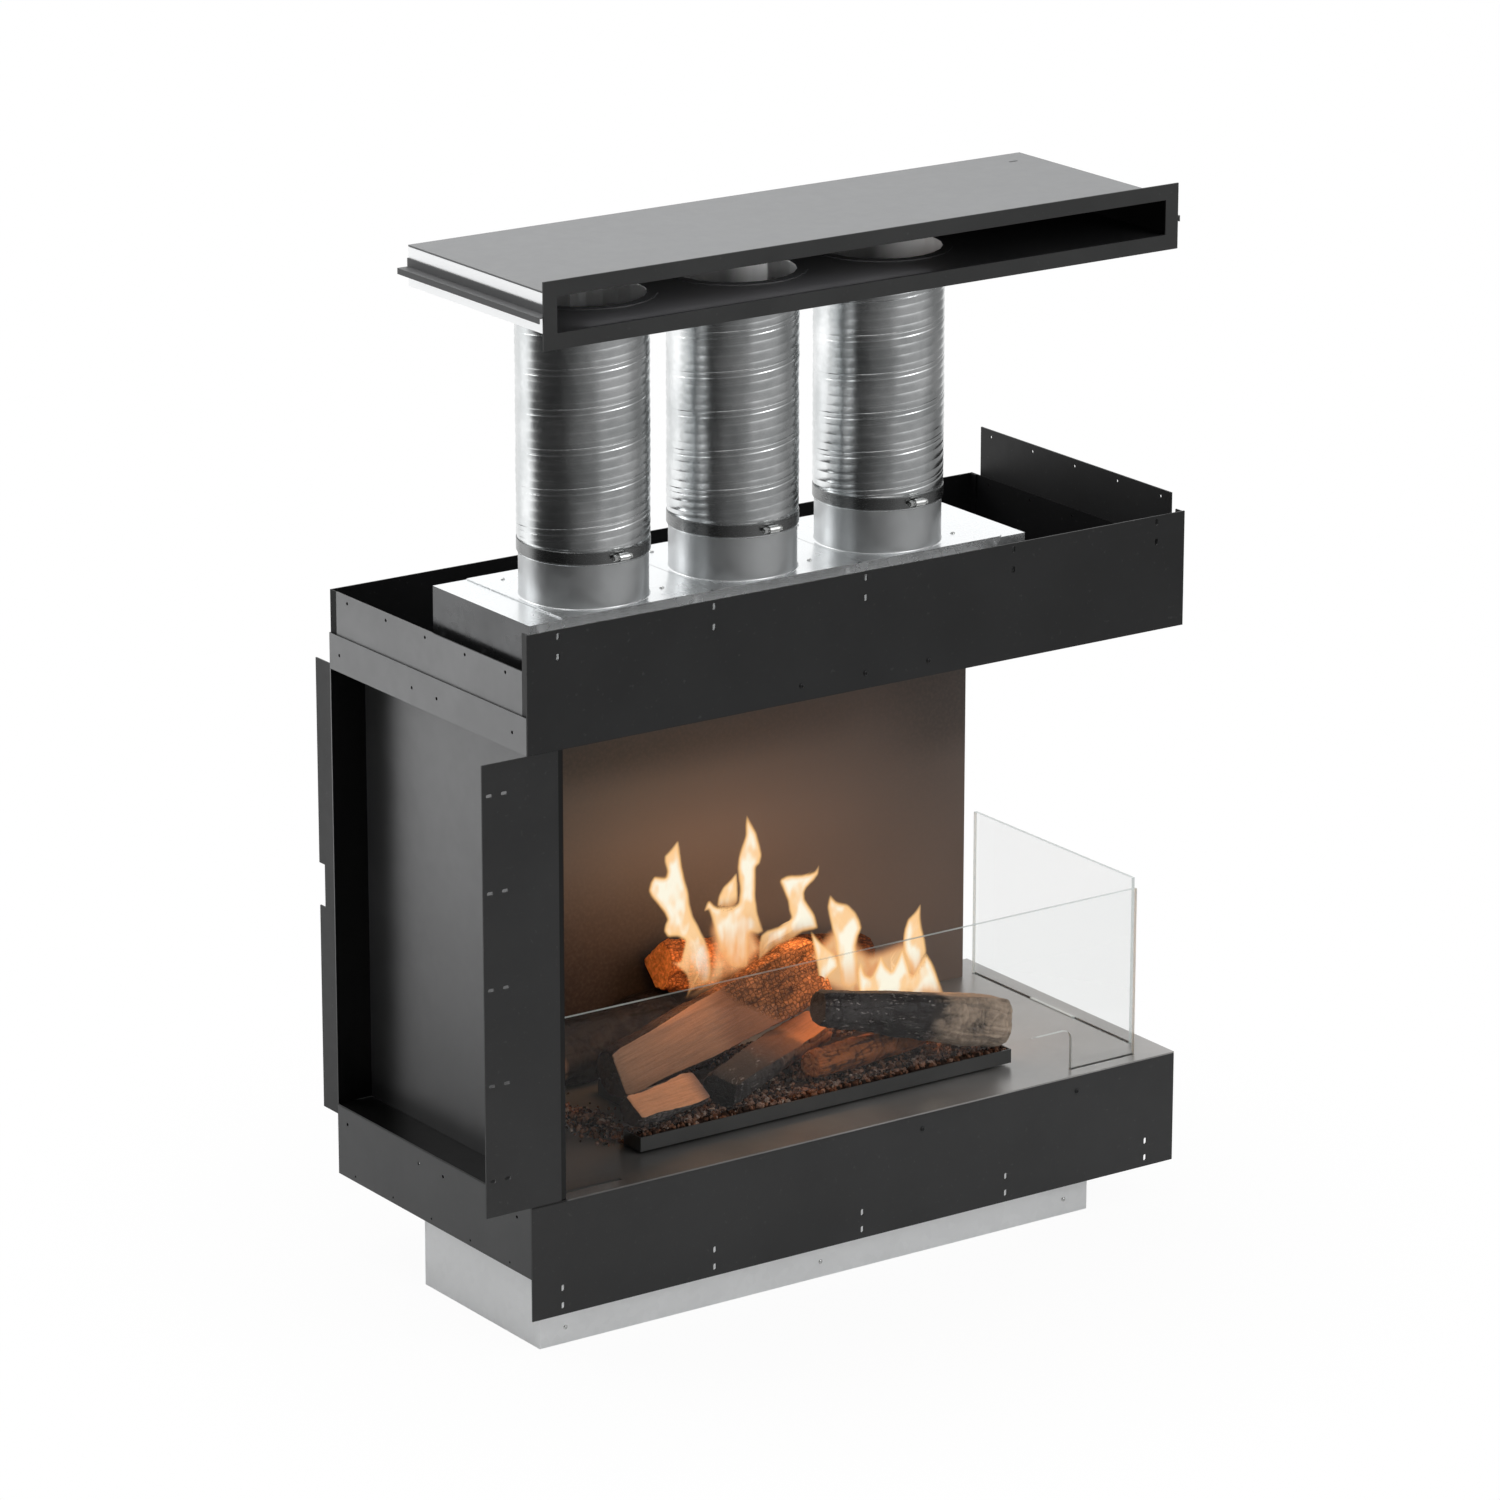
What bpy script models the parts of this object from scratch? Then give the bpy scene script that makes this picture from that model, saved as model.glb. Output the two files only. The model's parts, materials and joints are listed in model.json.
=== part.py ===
# Corner bioethanol fireplace, built from its separate sheet metal pieces.
# Everything is modelled from the casing's front left foot: X runs along the front,
# Y towards the back and Z up. The last step moves it all so that the origin lies
# under the middle of the whole outline, on the surface that it stands on.

import math

import bmesh
import bpy
from mathutils import Vector
from mathutils.bvhtree import BVHTree

# Sheets and gaps
SHEET = 0.002
GALVANISED = 0.0015
FIT = 0.0003
OVERRUN = 0.010
SHARP_EDGE = math.radians(35)

# Casing
CASING_WIDTH = 1.000
CASING_DEPTH = 0.454
LOWER_HEIGHT = 0.150
OPENING_HEIGHT = 0.580
UPPER_FASCIA_HEIGHT = 0.151
LOWER_STRIP_FOOT = 0.055
UPPER_STRIP_HEIGHT = 0.1025
LEFT_STRIP_HEIGHT = 0.047
LEFT_FLANGE_LAP = 0.020
CORNER_TAB = 0.014

# Fixing slots and holes of the casing
SLOT_WIDTH = 0.005
SLOT_LENGTH = 0.009
SLOT_FIRST = 0.045
SLOT_PAIRS = 5
LOWER_SLOT_EDGE = 0.012
LOWER_SLOT_STEP = 0.023
UPPER_SLOT_EDGE = 0.008
UPPER_SLOT_STEP = 0.026
HOLE_RADIUS = 0.0023
PIN_HOLE_RADIUS = 0.0016
FLANGE_HOLES = 5
FLANGE_HOLE_FRONT = 0.0511
FLANGE_HOLE_BACK = 0.0405
FLANGE_HOLE_EDGE = 0.0095
STRIP_HOLE_EDGE = 0.022
STRIP_HOLE_FRONT = 0.0338
STRIP_HOLE_BACK = 0.0232
STRIP_HOLE_PAIR = 0.057
PIN_HOLE_EDGE = 0.0075
HOLE_SIDES = 8

# Wall flanges and trim
RIGHT_FLANGE_HEIGHT = 0.086
RIGHT_FLANGE_LAP = 0.020
RIGHT_FLANGE_FRONT = 0.029
RIGHT_FLANGE_BACK = 0.0185
TRIM_OVERHANG = 0.0655
TRIM_INSET = 0.0438
TRIM_SLOT_EDGE = 0.010
TRIM_SLOT_STEP = 0.0215
TRIM_SLOT_FOOT = 0.047
TRIM_SLOT_HEAD = 0.040
REAR_FLANGE_DEPTH = 0.034
REAR_FLANGE_LEG = 0.030
REAR_FLANGE_FOOT = 0.014
REAR_FLANGE_HEAD = 0.006
REAR_NOTCH_DEPTH = 0.013
REAR_NOTCH_HEIGHT = 0.057
REAR_NOTCH_FOOT = 0.272

# Firebox
RECESS_DEPTH = 0.050
PANEL_LIP = 0.032
BACK_BAY_DEPTH = 0.058
BACK_PANEL_MARGIN = 0.050
BACK_PANEL_RETURN = 0.056

# Convection hood
HOOD_LEFT = 0.017
HOOD_MARGIN = 0.033
HOOD_FRONT = 0.020
HOOD_DEPTH = 0.216
HOOD_HEIGHT = 0.1532
HOOD_INTAKE_MARGIN = 0.030

# Spigots, ducts and clamps
DUCTS = 3
DUCT_FIRST = 0.150
DUCT_PITCH = 0.2205
DUCT_Y = 0.1025
ROUND_SIDES = 24
SPIGOT_RADIUS = 0.0798
SPIGOT_WALL = 0.0012
SPIGOT_HEIGHT = 0.090
SPIGOT_PLATE_LEFT = 0.0845
DUCT_WALL = 0.0007
RIB_DEPTH = 0.0012
RIB_PITCH = 0.0119
DUCT_FOOT = 0.0562
DUCT_CUFF = 0.0175
DUCT_TOP_GAP = 0.004
BAND_THICKNESS = 0.0010
BAND_HEIGHT = 0.012
BAND_EDGE = 0.0035
WORM_RADIUS = 0.0032
WORM_END = 0.004
WORM_HEAD_RADIUS = 0.0042
WORM_HEAD_LENGTH = 0.005
WORM_SIDES = 12
WORM_HEAD_SIDES = 6
WORM_OFFSET = 0.0050
SADDLE_LENGTH = 0.018
SADDLE_DEPTH = 0.0100

# Air outlet box
OUTLET_GAP = 0.3745
OUTLET_MARGIN = 0.079
OUTLET_HEIGHT = 0.0510
OUTLET_FRONT = -0.060
OUTLET_DEPTH = 0.314
FRAME_SIDE = 0.011
FRAME_ABOVE = 0.016
FRAME_BELOW = 0.0164
FRAME_BORDER = 0.0195
BRACKET_REACH = 0.016
BRACKET_HEIGHT = 0.023
BRACKET_LIP = 0.006
BRACKET_LEG = 0.012
COLLAR_DROP = 0.035
COLLAR_FLANGE = 0.012
KEY_SLOT_LENGTH = 0.014
KEY_SLOT_WIDTH = 0.004

# Burner
HOUSING_LEFT = 0.023
HOUSING_MARGIN = 0.125
HOUSING_FRONT = 0.020
HOUSING_DEPTH = 0.265
HOUSING_DROP = 0.048
HOUSING_TOP = 0.100
HANGER_FOOT = 0.016
HANGER_LAP = 0.040
HANGER_MARGIN = 0.020
TANK_END_GAP = 0.020
TANK_FRONT_GAP = 0.110
TANK_BACK_GAP = 0.009
TANK_HEIGHT = 0.090
TANK_RIM = 0.008
TANK_PLAY = 0.002
WOOL_HEIGHT = 0.070
FLAME_SLOT_END = 0.010
FLAME_SLOT_BACK = 0.041
SHUTTER_FRONT = 0.008
SHUTTER_LAP = 0.006
SHUTTER_STEP = 0.005
SHUTTER_TAB = 0.004
SHUTTER_TAB_LENGTH = 0.030
SHUTTER_TAB_SETBACK = 0.002
GUIDE_WIDTH = 0.004
JOIN = 0.0006

# Ember tray: a wide kerb along the front and a narrower body behind it
KERB_LEFT = 0.213
KERB_MARGIN = 0.208
KERB_FRONT = 0.077
KERB_DEPTH = 0.039
KERB_TOE = 0.004
TRAY_LEFT_STEP = 0.077
TRAY_RIGHT_STEP = 0.052
TRAY_BACK_GAP = 0.014
TRAY_FLOOR = 0.0117
TRAY_HEIGHT = 0.0227
WINDOW_MARGIN = 0.008
EMBER_DEPTH = 0.0115
EMBER_ROUGHNESS = 0.0022
EMBER_PITCH = 0.018
EMBER_WAVES = ((2.3, 1.1), (-0.7, 2.9))

# Glass
GLASS = 0.005
GLASS_TOP = 0.228
GLASS_SEAT = 0.012
GLASS_PLAY = 0.0006
GLASS_FRONT_Y = 0.023
GLASS_FRONT_GAP = 0.0014
GLASS_FRONT_MARGIN = 0.050
GLASS_LEFT_LEG = 0.092
GLASS_RIGHT_LEG = 0.103
GLASS_ARCH_HEIGHT = 0.055
GLASS_ARCH_RADIUS = 0.012
GLASS_RIGHT_MARGIN = 0.027
GLASS_RIGHT_FRONT = 0.058
GLASS_RIGHT_BACK_LAP = 0.006
GLASS_TENON_FRONT = 0.122
GLASS_TENON_BACK = 0.128
GLASS_LIFT_GAP = 0.001

# Screw holes
SCREW_HOLE_RADIUS = 0.0021
UPPER_SCREW_PITCH = 0.097
UPPER_SCREW_EDGE = 0.020
LOWER_SCREW_EDGE = 0.022
LOWER_SCREW_PITCH = 0.247
LOWER_SCREW_LAST = 0.159
HOUSING_SCREW_END = 0.038
HOUSING_SCREW_EDGE = 0.021
SPIGOT_SCREW_SIDE = 0.0345
SPIGOT_SCREW_BACK = 0.0285
SPIGOT_SCREW_RIGHT = 0.047
SPIGOT_SCREW_FRONT = 0.0445

# Logs: the two ends of each one's axis, as shares of the kerb's length from its left
# end, of the depth to the back panel, and of the firebox's height above the hearth.
# Then its half width at both ends as shares of LOG_RADIUS, its height as a share of its
# width, and its split faces: which way each looks, in shares of a turn, and how far
# from the axis it lies, as a share of the half width.
LOG_RADIUS = 0.048
LOG_SIDES = 14
LOG_SHARES = {
    "log_1": ((0.01, 0.862, 0.070), (0.39, 0.868, 0.101), (0.88, 0.88), 1.00, ()),
    "log_2": ((0.24, 0.262, 0.085), (0.65, 0.565, 0.090), (0.58, 0.54), 0.95, ((0.30, 0.58),)),
    "log_3": ((-0.01, 0.228, 0.090), (0.205, 0.312, 0.080), (0.46, 0.50), 0.95, ((0.36, 0.45),)),
    "log_4": ((0.50, 0.300, 0.070), (0.82, 0.360, 0.070), (0.44, 0.42), 0.90, ()),
    "log_5": ((0.35, 0.850, 0.240), (0.92, 0.872, 0.147), (0.72, 0.70), 1.00,
              ((0.12, 0.72), (0.86, 0.75))),
    "log_6": ((0.045, 0.450, 0.155), (0.65, 0.580, 0.262), (0.74, 0.94), 1.00, ((0.45, 0.42),)),
    "log_7": ((0.540, 0.341, 0.190), (0.985, 0.225, 0.095), (0.56, 0.80), 0.98, ((0.22, 0.80),)),
}
LOG_RING_SHARES = (0.0, 0.03, 0.20, 0.40, 0.60, 0.80, 0.97, 1.0)
LOG_GIRTH_SHARES = (0.93, 1.00, 0.97, 1.02, 0.98, 1.03, 0.99, 0.92)
LOG_WOBBLE_SHARE = 0.045
LOG_WAVES = (1.7, 2.4)
DROP_STEP = 0.002
DROP_ACCURACY = 0.00003

# Levels and faces worked out from the sizes above
HEARTH_TOP = LOWER_HEIGHT
HEARTH_UNDER = HEARTH_TOP - SHEET
LOWER_RING_TOP = HEARTH_UNDER - FIT
CEILING_UNDER = HEARTH_TOP + OPENING_HEIGHT
CEILING_TOP = CEILING_UNDER + SHEET
UPPER_STRIP_TOP = CEILING_UNDER + UPPER_STRIP_HEIGHT
HOOD_FOOT = CEILING_TOP + FIT
HOOD_TOP = HOOD_FOOT + HOOD_HEIGHT
HOOD_WIDTH = DUCT_FIRST - SPIGOT_PLATE_LEFT + DUCT_PITCH * DUCTS + HOOD_MARGIN - HOOD_LEFT
HOOD_RIGHT = HOOD_LEFT + HOOD_WIDTH
HOOD_BACK = HOOD_FRONT + HOOD_DEPTH
SPIGOT_BASE = HOOD_TOP + FIT
SPIGOT_BORE = SPIGOT_RADIUS - SPIGOT_WALL
FLAT_SHARE = math.cos(math.pi / ROUND_SIDES)
DUCT_BORE = SPIGOT_RADIUS + FIT
DUCT_VALLEY = DUCT_BORE + DUCT_WALL
DUCT_CREST = DUCT_VALLEY + RIB_DEPTH
OUTLET_FLOOR = HOOD_TOP + OUTLET_GAP
OUTLET_TOP = OUTLET_FLOOR + OUTLET_HEIGHT
OUTLET_BACK = OUTLET_FRONT + OUTLET_DEPTH
OUTLET_WIDTH = CASING_WIDTH - OUTLET_MARGIN
DUCT_LOW = SPIGOT_BASE + DUCT_FOOT
DUCT_HIGH = OUTLET_FLOOR - DUCT_TOP_GAP
PANEL_FRONT = SHEET + FIT
PANEL_INNER = RECESS_DEPTH + SHEET
BACK_PANEL_Y = CASING_DEPTH - BACK_BAY_DEPTH
BACK_PANEL_RIGHT = CASING_WIDTH - BACK_PANEL_MARGIN
GLASS_LEFT = PANEL_INNER + GLASS_PLAY + GLASS_FRONT_GAP
GLASS_FRONT_RIGHT = CASING_WIDTH - GLASS_FRONT_MARGIN
GLASS_RIGHT_X = CASING_WIDTH - GLASS_RIGHT_MARGIN
GLASS_RIGHT_BACK = BACK_PANEL_Y + GLASS_RIGHT_BACK_LAP
GLASS_FOOT = HEARTH_TOP - GLASS_SEAT
KERB_RIGHT = CASING_WIDTH - KERB_MARGIN
KERB_LENGTH = KERB_RIGHT - KERB_LEFT
KERB_BACK = KERB_FRONT + KERB_DEPTH
TRAY_LEFT = KERB_LEFT + TRAY_LEFT_STEP
TRAY_RIGHT = KERB_RIGHT - TRAY_RIGHT_STEP
HOUSING_WIDTH = CASING_WIDTH - HOUSING_LEFT - HOUSING_MARGIN
TANK_FRONT = HOUSING_FRONT + TANK_FRONT_GAP
TANK_BACK = HOUSING_FRONT + HOUSING_DEPTH - TANK_BACK_GAP
TANK_WIDTH = TANK_BACK - TANK_FRONT
TANK_LENGTH = TRAY_RIGHT - TRAY_LEFT - TANK_END_GAP * 2
TANK_Y = (TANK_FRONT + TANK_BACK) / 2
BURNER_X = (TRAY_LEFT + TRAY_RIGHT) / 2
TRAY_BACK = TANK_BACK + TRAY_BACK_GAP
SHUTTER_PARK = TANK_FRONT + SHUTTER_FRONT
SHUTTER_SPARE = SHUTTER_FRONT + SHUTTER_LAP * 2 + SHUTTER_STEP + FLAME_SLOT_BACK
FLAME_SLOT_WIDTH = (TANK_WIDTH - SHUTTER_SPARE) / 2
FLAME_SLOT_LENGTH = TANK_LENGTH - FLAME_SLOT_END * 2
FLAME_SLOT_Y = TANK_BACK - FLAME_SLOT_BACK - FLAME_SLOT_WIDTH / 2
BURNER_RIM_TOP = HEARTH_TOP + FIT + GALVANISED
BURNER_TOP_LOW = BURNER_RIM_TOP + FIT
BURNER_TOP = BURNER_TOP_LOW + GALVANISED
TRAY_LOW = HEARTH_TOP + FIT
TRAY_RIM = TRAY_LOW + TRAY_HEIGHT
TRAY_BED = TRAY_LOW + TRAY_FLOOR + GALVANISED
EMBER_TOP = TRAY_BED + FIT + EMBER_DEPTH

PAINTED_STEEL = ("painted_steel", (0.035, 0.036, 0.037), 0.45, 0.2)
GALVANISED_STEEL = ("galvanised_steel", (0.62, 0.64, 0.65), 0.38, 0.9)
ALUMINIUM_FOIL = ("aluminium_foil", (0.70, 0.72, 0.73), 0.30, 1.0)
STAINLESS_STEEL = ("stainless_steel", (0.55, 0.55, 0.54), 0.25, 1.0)
CLAMP_STEEL = ("clamp_steel", (0.45, 0.46, 0.46), 0.22, 1.0)
FIREBOX_STEEL = ("firebox_steel", (0.060, 0.052, 0.046), 0.55, 0.2)
OUTLET_GREY = ("outlet_grey", (0.24, 0.24, 0.245), 0.40, 0.3)
CLEAR_GLASS = ("clear_glass", (0.88, 0.93, 0.92), 0.03, 0.0)
CERAMIC_WOOL = ("ceramic_wool", (0.80, 0.79, 0.76), 0.95, 0.0)
EMBER_CHIPS = ("ember_chips", (0.10, 0.065, 0.05), 0.90, 0.0)
LOG_BARK = ("log_bark", (0.16, 0.075, 0.035), 0.85, 0.0)
LOG_SPLIT = ("log_split", (0.36, 0.19, 0.11), 0.80, 0.0)
LOG_CHAR = ("log_char", (0.045, 0.040, 0.040), 0.90, 0.0)


def material(finish):
    """One Principled material for each finish, made once."""
    name, colour, roughness, metallic = finish
    made = bpy.data.materials.get(name)
    if made is None:
        made = bpy.data.materials.new(name)
        made.use_nodes = True
        shader = made.node_tree.nodes["Principled BSDF"]
        shader.inputs["Base Color"].default_value = (*colour, 1.0)
        shader.inputs["Roughness"].default_value = roughness
        shader.inputs["Metallic"].default_value = metallic
        made.diffuse_color = (*colour, 1.0)
    return made


def finish_mesh(name, bm, finish):
    """Turn a bmesh into a named object with its faces outwards and its rounds smooth."""
    bmesh.ops.remove_doubles(bm, verts=bm.verts, dist=FIT / 10)
    bmesh.ops.recalc_face_normals(bm, faces=bm.faces)
    mesh = bpy.data.meshes.new(name)
    bm.to_mesh(mesh)
    bm.free()
    mesh.shade_smooth()
    mesh.set_sharp_from_angle(angle=SHARP_EDGE)
    piece = bpy.data.objects.new(name, mesh)
    bpy.context.scene.collection.objects.link(piece)
    if finish is not None:
        mesh.materials.append(material(finish))
    return piece


def add_block(bm, low, high):
    """Add a box between two corners."""
    corners = [[low[0], low[1]], [high[0], low[1]], [high[0], high[1]], [low[0], high[1]]]
    add_prism(bm, corners, "Z", low[2], high[2])


def add_prism(bm, outline, axis, low, high):
    """Add an outline, given in the other two axes in X, Y, Z order, drawn out along an axis."""
    turn = {"X": (2, 0, 1), "Y": (0, 2, 1), "Z": (0, 1, 2)}[axis]
    points = [(a, b, low) for a, b in outline]
    verts = [bm.verts.new([point[i] for i in turn]) for point in points]
    face = bm.faces.new(verts)
    drawn = bmesh.ops.extrude_face_region(bm, geom=[face])
    moved = [item for item in drawn["geom"] if isinstance(item, bmesh.types.BMVert)]
    along = Vector([(high - low) if i == 2 else 0.0 for i in turn])
    bmesh.ops.translate(bm, verts=moved, vec=along)


def hole_outline(centre, radius, stretch=(0.0, 0.0), sides=HOLE_SIDES):
    """A round hole, or a slot where its two halves are moved apart by a stretch."""
    outline = []
    for i in range(sides):
        angle = math.tau * (i + 0.5) / sides
        across, along = math.cos(angle), math.sin(angle)
        outline.append((centre[0] + radius * across + math.copysign(stretch[0] / 2, across),
                        centre[1] + radius * along + math.copysign(stretch[1] / 2, along)))
    return outline


def rectangle(low, high):
    return [low, (high[0], low[1]), high, (low[0], high[1])]


def block(name, low, high, finish):
    bm = bmesh.new()
    add_block(bm, low, high)
    return finish_mesh(name, bm, finish)


def prism(name, outline, axis, low, high, finish):
    bm = bmesh.new()
    add_prism(bm, outline, axis, low, high)
    return finish_mesh(name, bm, finish)


def prisms(name, outlines, axis, low, high, finish):
    bm = bmesh.new()
    for outline in outlines:
        add_prism(bm, outline, axis, low, high)
    return finish_mesh(name, bm, finish)


def add_round(bm, profile, centre, sides, axis="Z"):
    """Spin a closed profile of (radius, height) points about a line through the centre."""
    turn = {"X": (2, 0, 1), "Y": (0, 2, 1), "Z": (0, 1, 2)}[axis]
    half = math.pi / sides
    ring = []
    for radius, height in profile:
        point = (radius * math.cos(half), radius * math.sin(half), height)
        ring.append(bm.verts.new(Vector(centre) + Vector([point[i] for i in turn])))
    edges = [bm.edges.new((ring[i - 1], ring[i])) for i in range(len(ring))]
    spin_axis = Vector([1.0 if i == 2 else 0.0 for i in turn])
    bmesh.ops.spin(bm, geom=ring + edges, cent=Vector(centre), axis=spin_axis,
                   angle=math.tau, steps=sides, use_merge=True)


def round_piece(name, profile, centre, sides, finish, axis="Z"):
    bm = bmesh.new()
    add_round(bm, profile, centre, sides, axis)
    return finish_mesh(name, bm, finish)


def basin(name, levels, centre, finish):
    """Bridge level rectangles of (half length, half width, height) and close both ends."""
    bm = bmesh.new()
    loops = []
    for half_x, half_y, height in levels:
        corners = ((-half_x, -half_y), (half_x, -half_y), (half_x, half_y), (-half_x, half_y))
        loop = [bm.verts.new((centre[0] + x, centre[1] + y, height)) for x, y in corners]
        loops.append(loop)
    for lower, upper in zip(loops, loops[1:]):
        for i in range(len(lower)):
            bm.faces.new((lower[i - 1], lower[i], upper[i], upper[i - 1]))
    bm.faces.new(loops[0])
    bm.faces.new(loops[-1])
    return finish_mesh(name, bm, finish)


def boolean(piece, other, operation="DIFFERENCE"):
    """Cut a piece with a guide, or join the guide to it, and keep the guide out of the model."""
    other.hide_render = True
    other.display_type = "WIRE"
    cut = piece.modifiers.new(other.name, "BOOLEAN")
    cut.operation = operation
    cut.object = other
    cut.solver = "EXACT"
    return piece


def drill(piece, outlines, axis, low, high):
    """Cut holes along an axis through the stretch from low to high."""
    guide = prisms(piece.name + "_holes", outlines, axis, low - OVERRUN, high + OVERRUN, None)
    return boolean(piece, guide)


def clear(piece, low, high, label="_notch"):
    """Cut away a box."""
    return boolean(piece, block(piece.name + label, low, high, None))


def row(first, pitch, count):
    return [first + pitch * i for i in range(count)]


def fascia(name, low, high):
    """A front plate with its two end tabs folded back inside the side strips."""
    edge, inner = SHEET + FIT, SHEET * 2 + FIT
    outline = [(0, 0), (CASING_WIDTH, 0), (CASING_WIDTH, SHEET), (CASING_WIDTH - edge, SHEET),
               (CASING_WIDTH - edge, CORNER_TAB), (CASING_WIDTH - inner, CORNER_TAB),
               (CASING_WIDTH - inner, SHEET), (inner, SHEET), (inner, CORNER_TAB),
               (edge, CORNER_TAB), (edge, SHEET), (0, SHEET)]
    return prism(name, outline, "Z", low, high, PAINTED_STEEL)


def back_strip(name, low, high):
    """A back plate between the side strips, with its end tabs folded forward."""
    edge, inner = SHEET + FIT, SHEET * 2 + FIT
    tab, face = CASING_DEPTH - CORNER_TAB, CASING_DEPTH - SHEET
    outline = [(edge, tab), (inner, tab), (inner, face), (CASING_WIDTH - inner, face),
               (CASING_WIDTH - inner, tab), (CASING_WIDTH - edge, tab),
               (CASING_WIDTH - edge, CASING_DEPTH), (edge, CASING_DEPTH)]
    return prism(name, outline, "Z", low, high, PAINTED_STEEL)


def side_strip(name, left, low, high):
    return block(name, (left, SHEET + FIT, low), (left + SHEET, CASING_DEPTH, high),
                 PAINTED_STEEL)


def fascia_slots(first_row, step):
    """Pairs of upright slots at an even pitch along a fascia."""
    pitch = (CASING_WIDTH - SLOT_FIRST * 2) / (SLOT_PAIRS - 1)
    stretch = (0.0, SLOT_LENGTH - SLOT_WIDTH)
    return [hole_outline((x, z), SLOT_WIDTH / 2, stretch)
            for x in row(SLOT_FIRST, pitch, SLOT_PAIRS) for z in (first_row, first_row + step)]


def strip_hole_places():
    """Depths of a side strip's four mounting holes: one near each end and a middle pair."""
    first, last = STRIP_HOLE_FRONT, CASING_DEPTH - STRIP_HOLE_BACK
    middle = (first + last) / 2
    return [first, middle - STRIP_HOLE_PAIR / 2, middle + STRIP_HOLE_PAIR / 2, last]


def flange_hole_places():
    """Depths of a flange's evenly spaced holes."""
    pitch = (CASING_DEPTH - FLANGE_HOLE_FRONT - FLANGE_HOLE_BACK) / (FLANGE_HOLES - 1)
    return row(FLANGE_HOLE_FRONT, pitch, FLANGE_HOLES)


def upper_screw_places():
    """Screws that show on the upper fascia, as (x, z)."""
    first = CASING_WIDTH / 2 - UPPER_SCREW_PITCH
    return [(x, CEILING_UNDER + UPPER_SCREW_EDGE) for x in row(first, UPPER_SCREW_PITCH, 3)]


def lower_screw_places():
    """Screws that show on the lower fascia, as (x, z)."""
    last = CASING_WIDTH - LOWER_SCREW_LAST
    return [(x, LOWER_HEIGHT - LOWER_SCREW_EDGE) for x in (last - LOWER_SCREW_PITCH, last)]


def housing_screw_places():
    middle = HOUSING_LEFT + HOUSING_WIDTH / 2
    pitch = HOUSING_WIDTH / 2 - HOUSING_SCREW_END
    return [(middle + pitch * i, HOUSING_SCREW_EDGE - HOUSING_DROP) for i in (-1, 0, 1)]


def duct_places():
    return row(DUCT_FIRST, DUCT_PITCH, DUCTS)


def spigot_screw_places(duct_x):
    """Two screws of a spigot plate, one at its back left and one at its front right."""
    left = duct_x - SPIGOT_PLATE_LEFT
    right = left + DUCT_PITCH
    return [(left + SPIGOT_SCREW_SIDE, HOOD_BACK - SPIGOT_SCREW_BACK),
            (right - SPIGOT_SCREW_RIGHT, HOOD_FRONT + SPIGOT_SCREW_FRONT)]


def build_lower_ring():
    front = fascia("lower_front_fascia", 0.0, LOWER_RING_TOP)
    outlines = fascia_slots(LOWER_SLOT_EDGE, LOWER_SLOT_STEP)
    outlines += [hole_outline(place, SCREW_HOLE_RADIUS) for place in lower_screw_places()]
    drill(front, outlines, "Y", 0.0, SHEET)
    clear(front, (-OVERRUN, SHEET, -OVERRUN),
          (CASING_WIDTH + OVERRUN, CORNER_TAB + OVERRUN, LOWER_STRIP_FOOT))
    upper_row = LOWER_HEIGHT - STRIP_HOLE_EDGE
    lower_row = LOWER_STRIP_FOOT + PIN_HOLE_EDGE
    outlines = [hole_outline((y, upper_row), HOLE_RADIUS) for y in strip_hole_places()]
    outlines += [hole_outline((y, lower_row), PIN_HOLE_RADIUS) for y in flange_hole_places()]
    for name, left in (("lower_left_strip", 0.0), ("lower_right_strip", CASING_WIDTH - SHEET)):
        strip = side_strip(name, left, LOWER_STRIP_FOOT, LOWER_RING_TOP)
        drill(strip, outlines, "X", left, left + SHEET)
    back_strip("lower_back_strip", LOWER_STRIP_FOOT, LOWER_RING_TOP)


def build_hearth():
    plate = block("hearth_plate", (0.0, 0.0, HEARTH_UNDER),
                  (CASING_WIDTH, CASING_DEPTH, HEARTH_TOP), PAINTED_STEEL)
    half = TANK_LENGTH / 2 + TANK_PLAY
    clear(plate, (BURNER_X - half, TANK_FRONT - TANK_PLAY, HEARTH_UNDER - OVERRUN),
          (BURNER_X + half, TANK_BACK + TANK_PLAY, HEARTH_TOP + OVERRUN), "_burner_opening")
    half = GLASS / 2 + GLASS_PLAY
    slots = [rectangle((low - GLASS_PLAY, GLASS_FRONT_Y - half), (high + GLASS_PLAY, GLASS_FRONT_Y + half))
             for low, high in front_leg_spans()]
    slots += [rectangle((GLASS_RIGHT_X - half, low - GLASS_PLAY), (GLASS_RIGHT_X + half, high + GLASS_PLAY))
              for low, high in tenon_spans()]
    drill(plate, slots, "Z", HEARTH_UNDER, HEARTH_TOP)


def front_leg_spans():
    """Where the front pane's two legs go through the hearth, along X."""
    return [(GLASS_LEFT, GLASS_LEFT + GLASS_LEFT_LEG),
            (GLASS_FRONT_RIGHT - GLASS_RIGHT_LEG, GLASS_FRONT_RIGHT)]


def tenon_spans():
    """Where the right pane's two tenons go through the hearth, along Y."""
    return [(GLASS_RIGHT_FRONT, GLASS_RIGHT_FRONT + GLASS_TENON_FRONT),
            (GLASS_RIGHT_BACK - GLASS_TENON_BACK, GLASS_RIGHT_BACK)]


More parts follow.
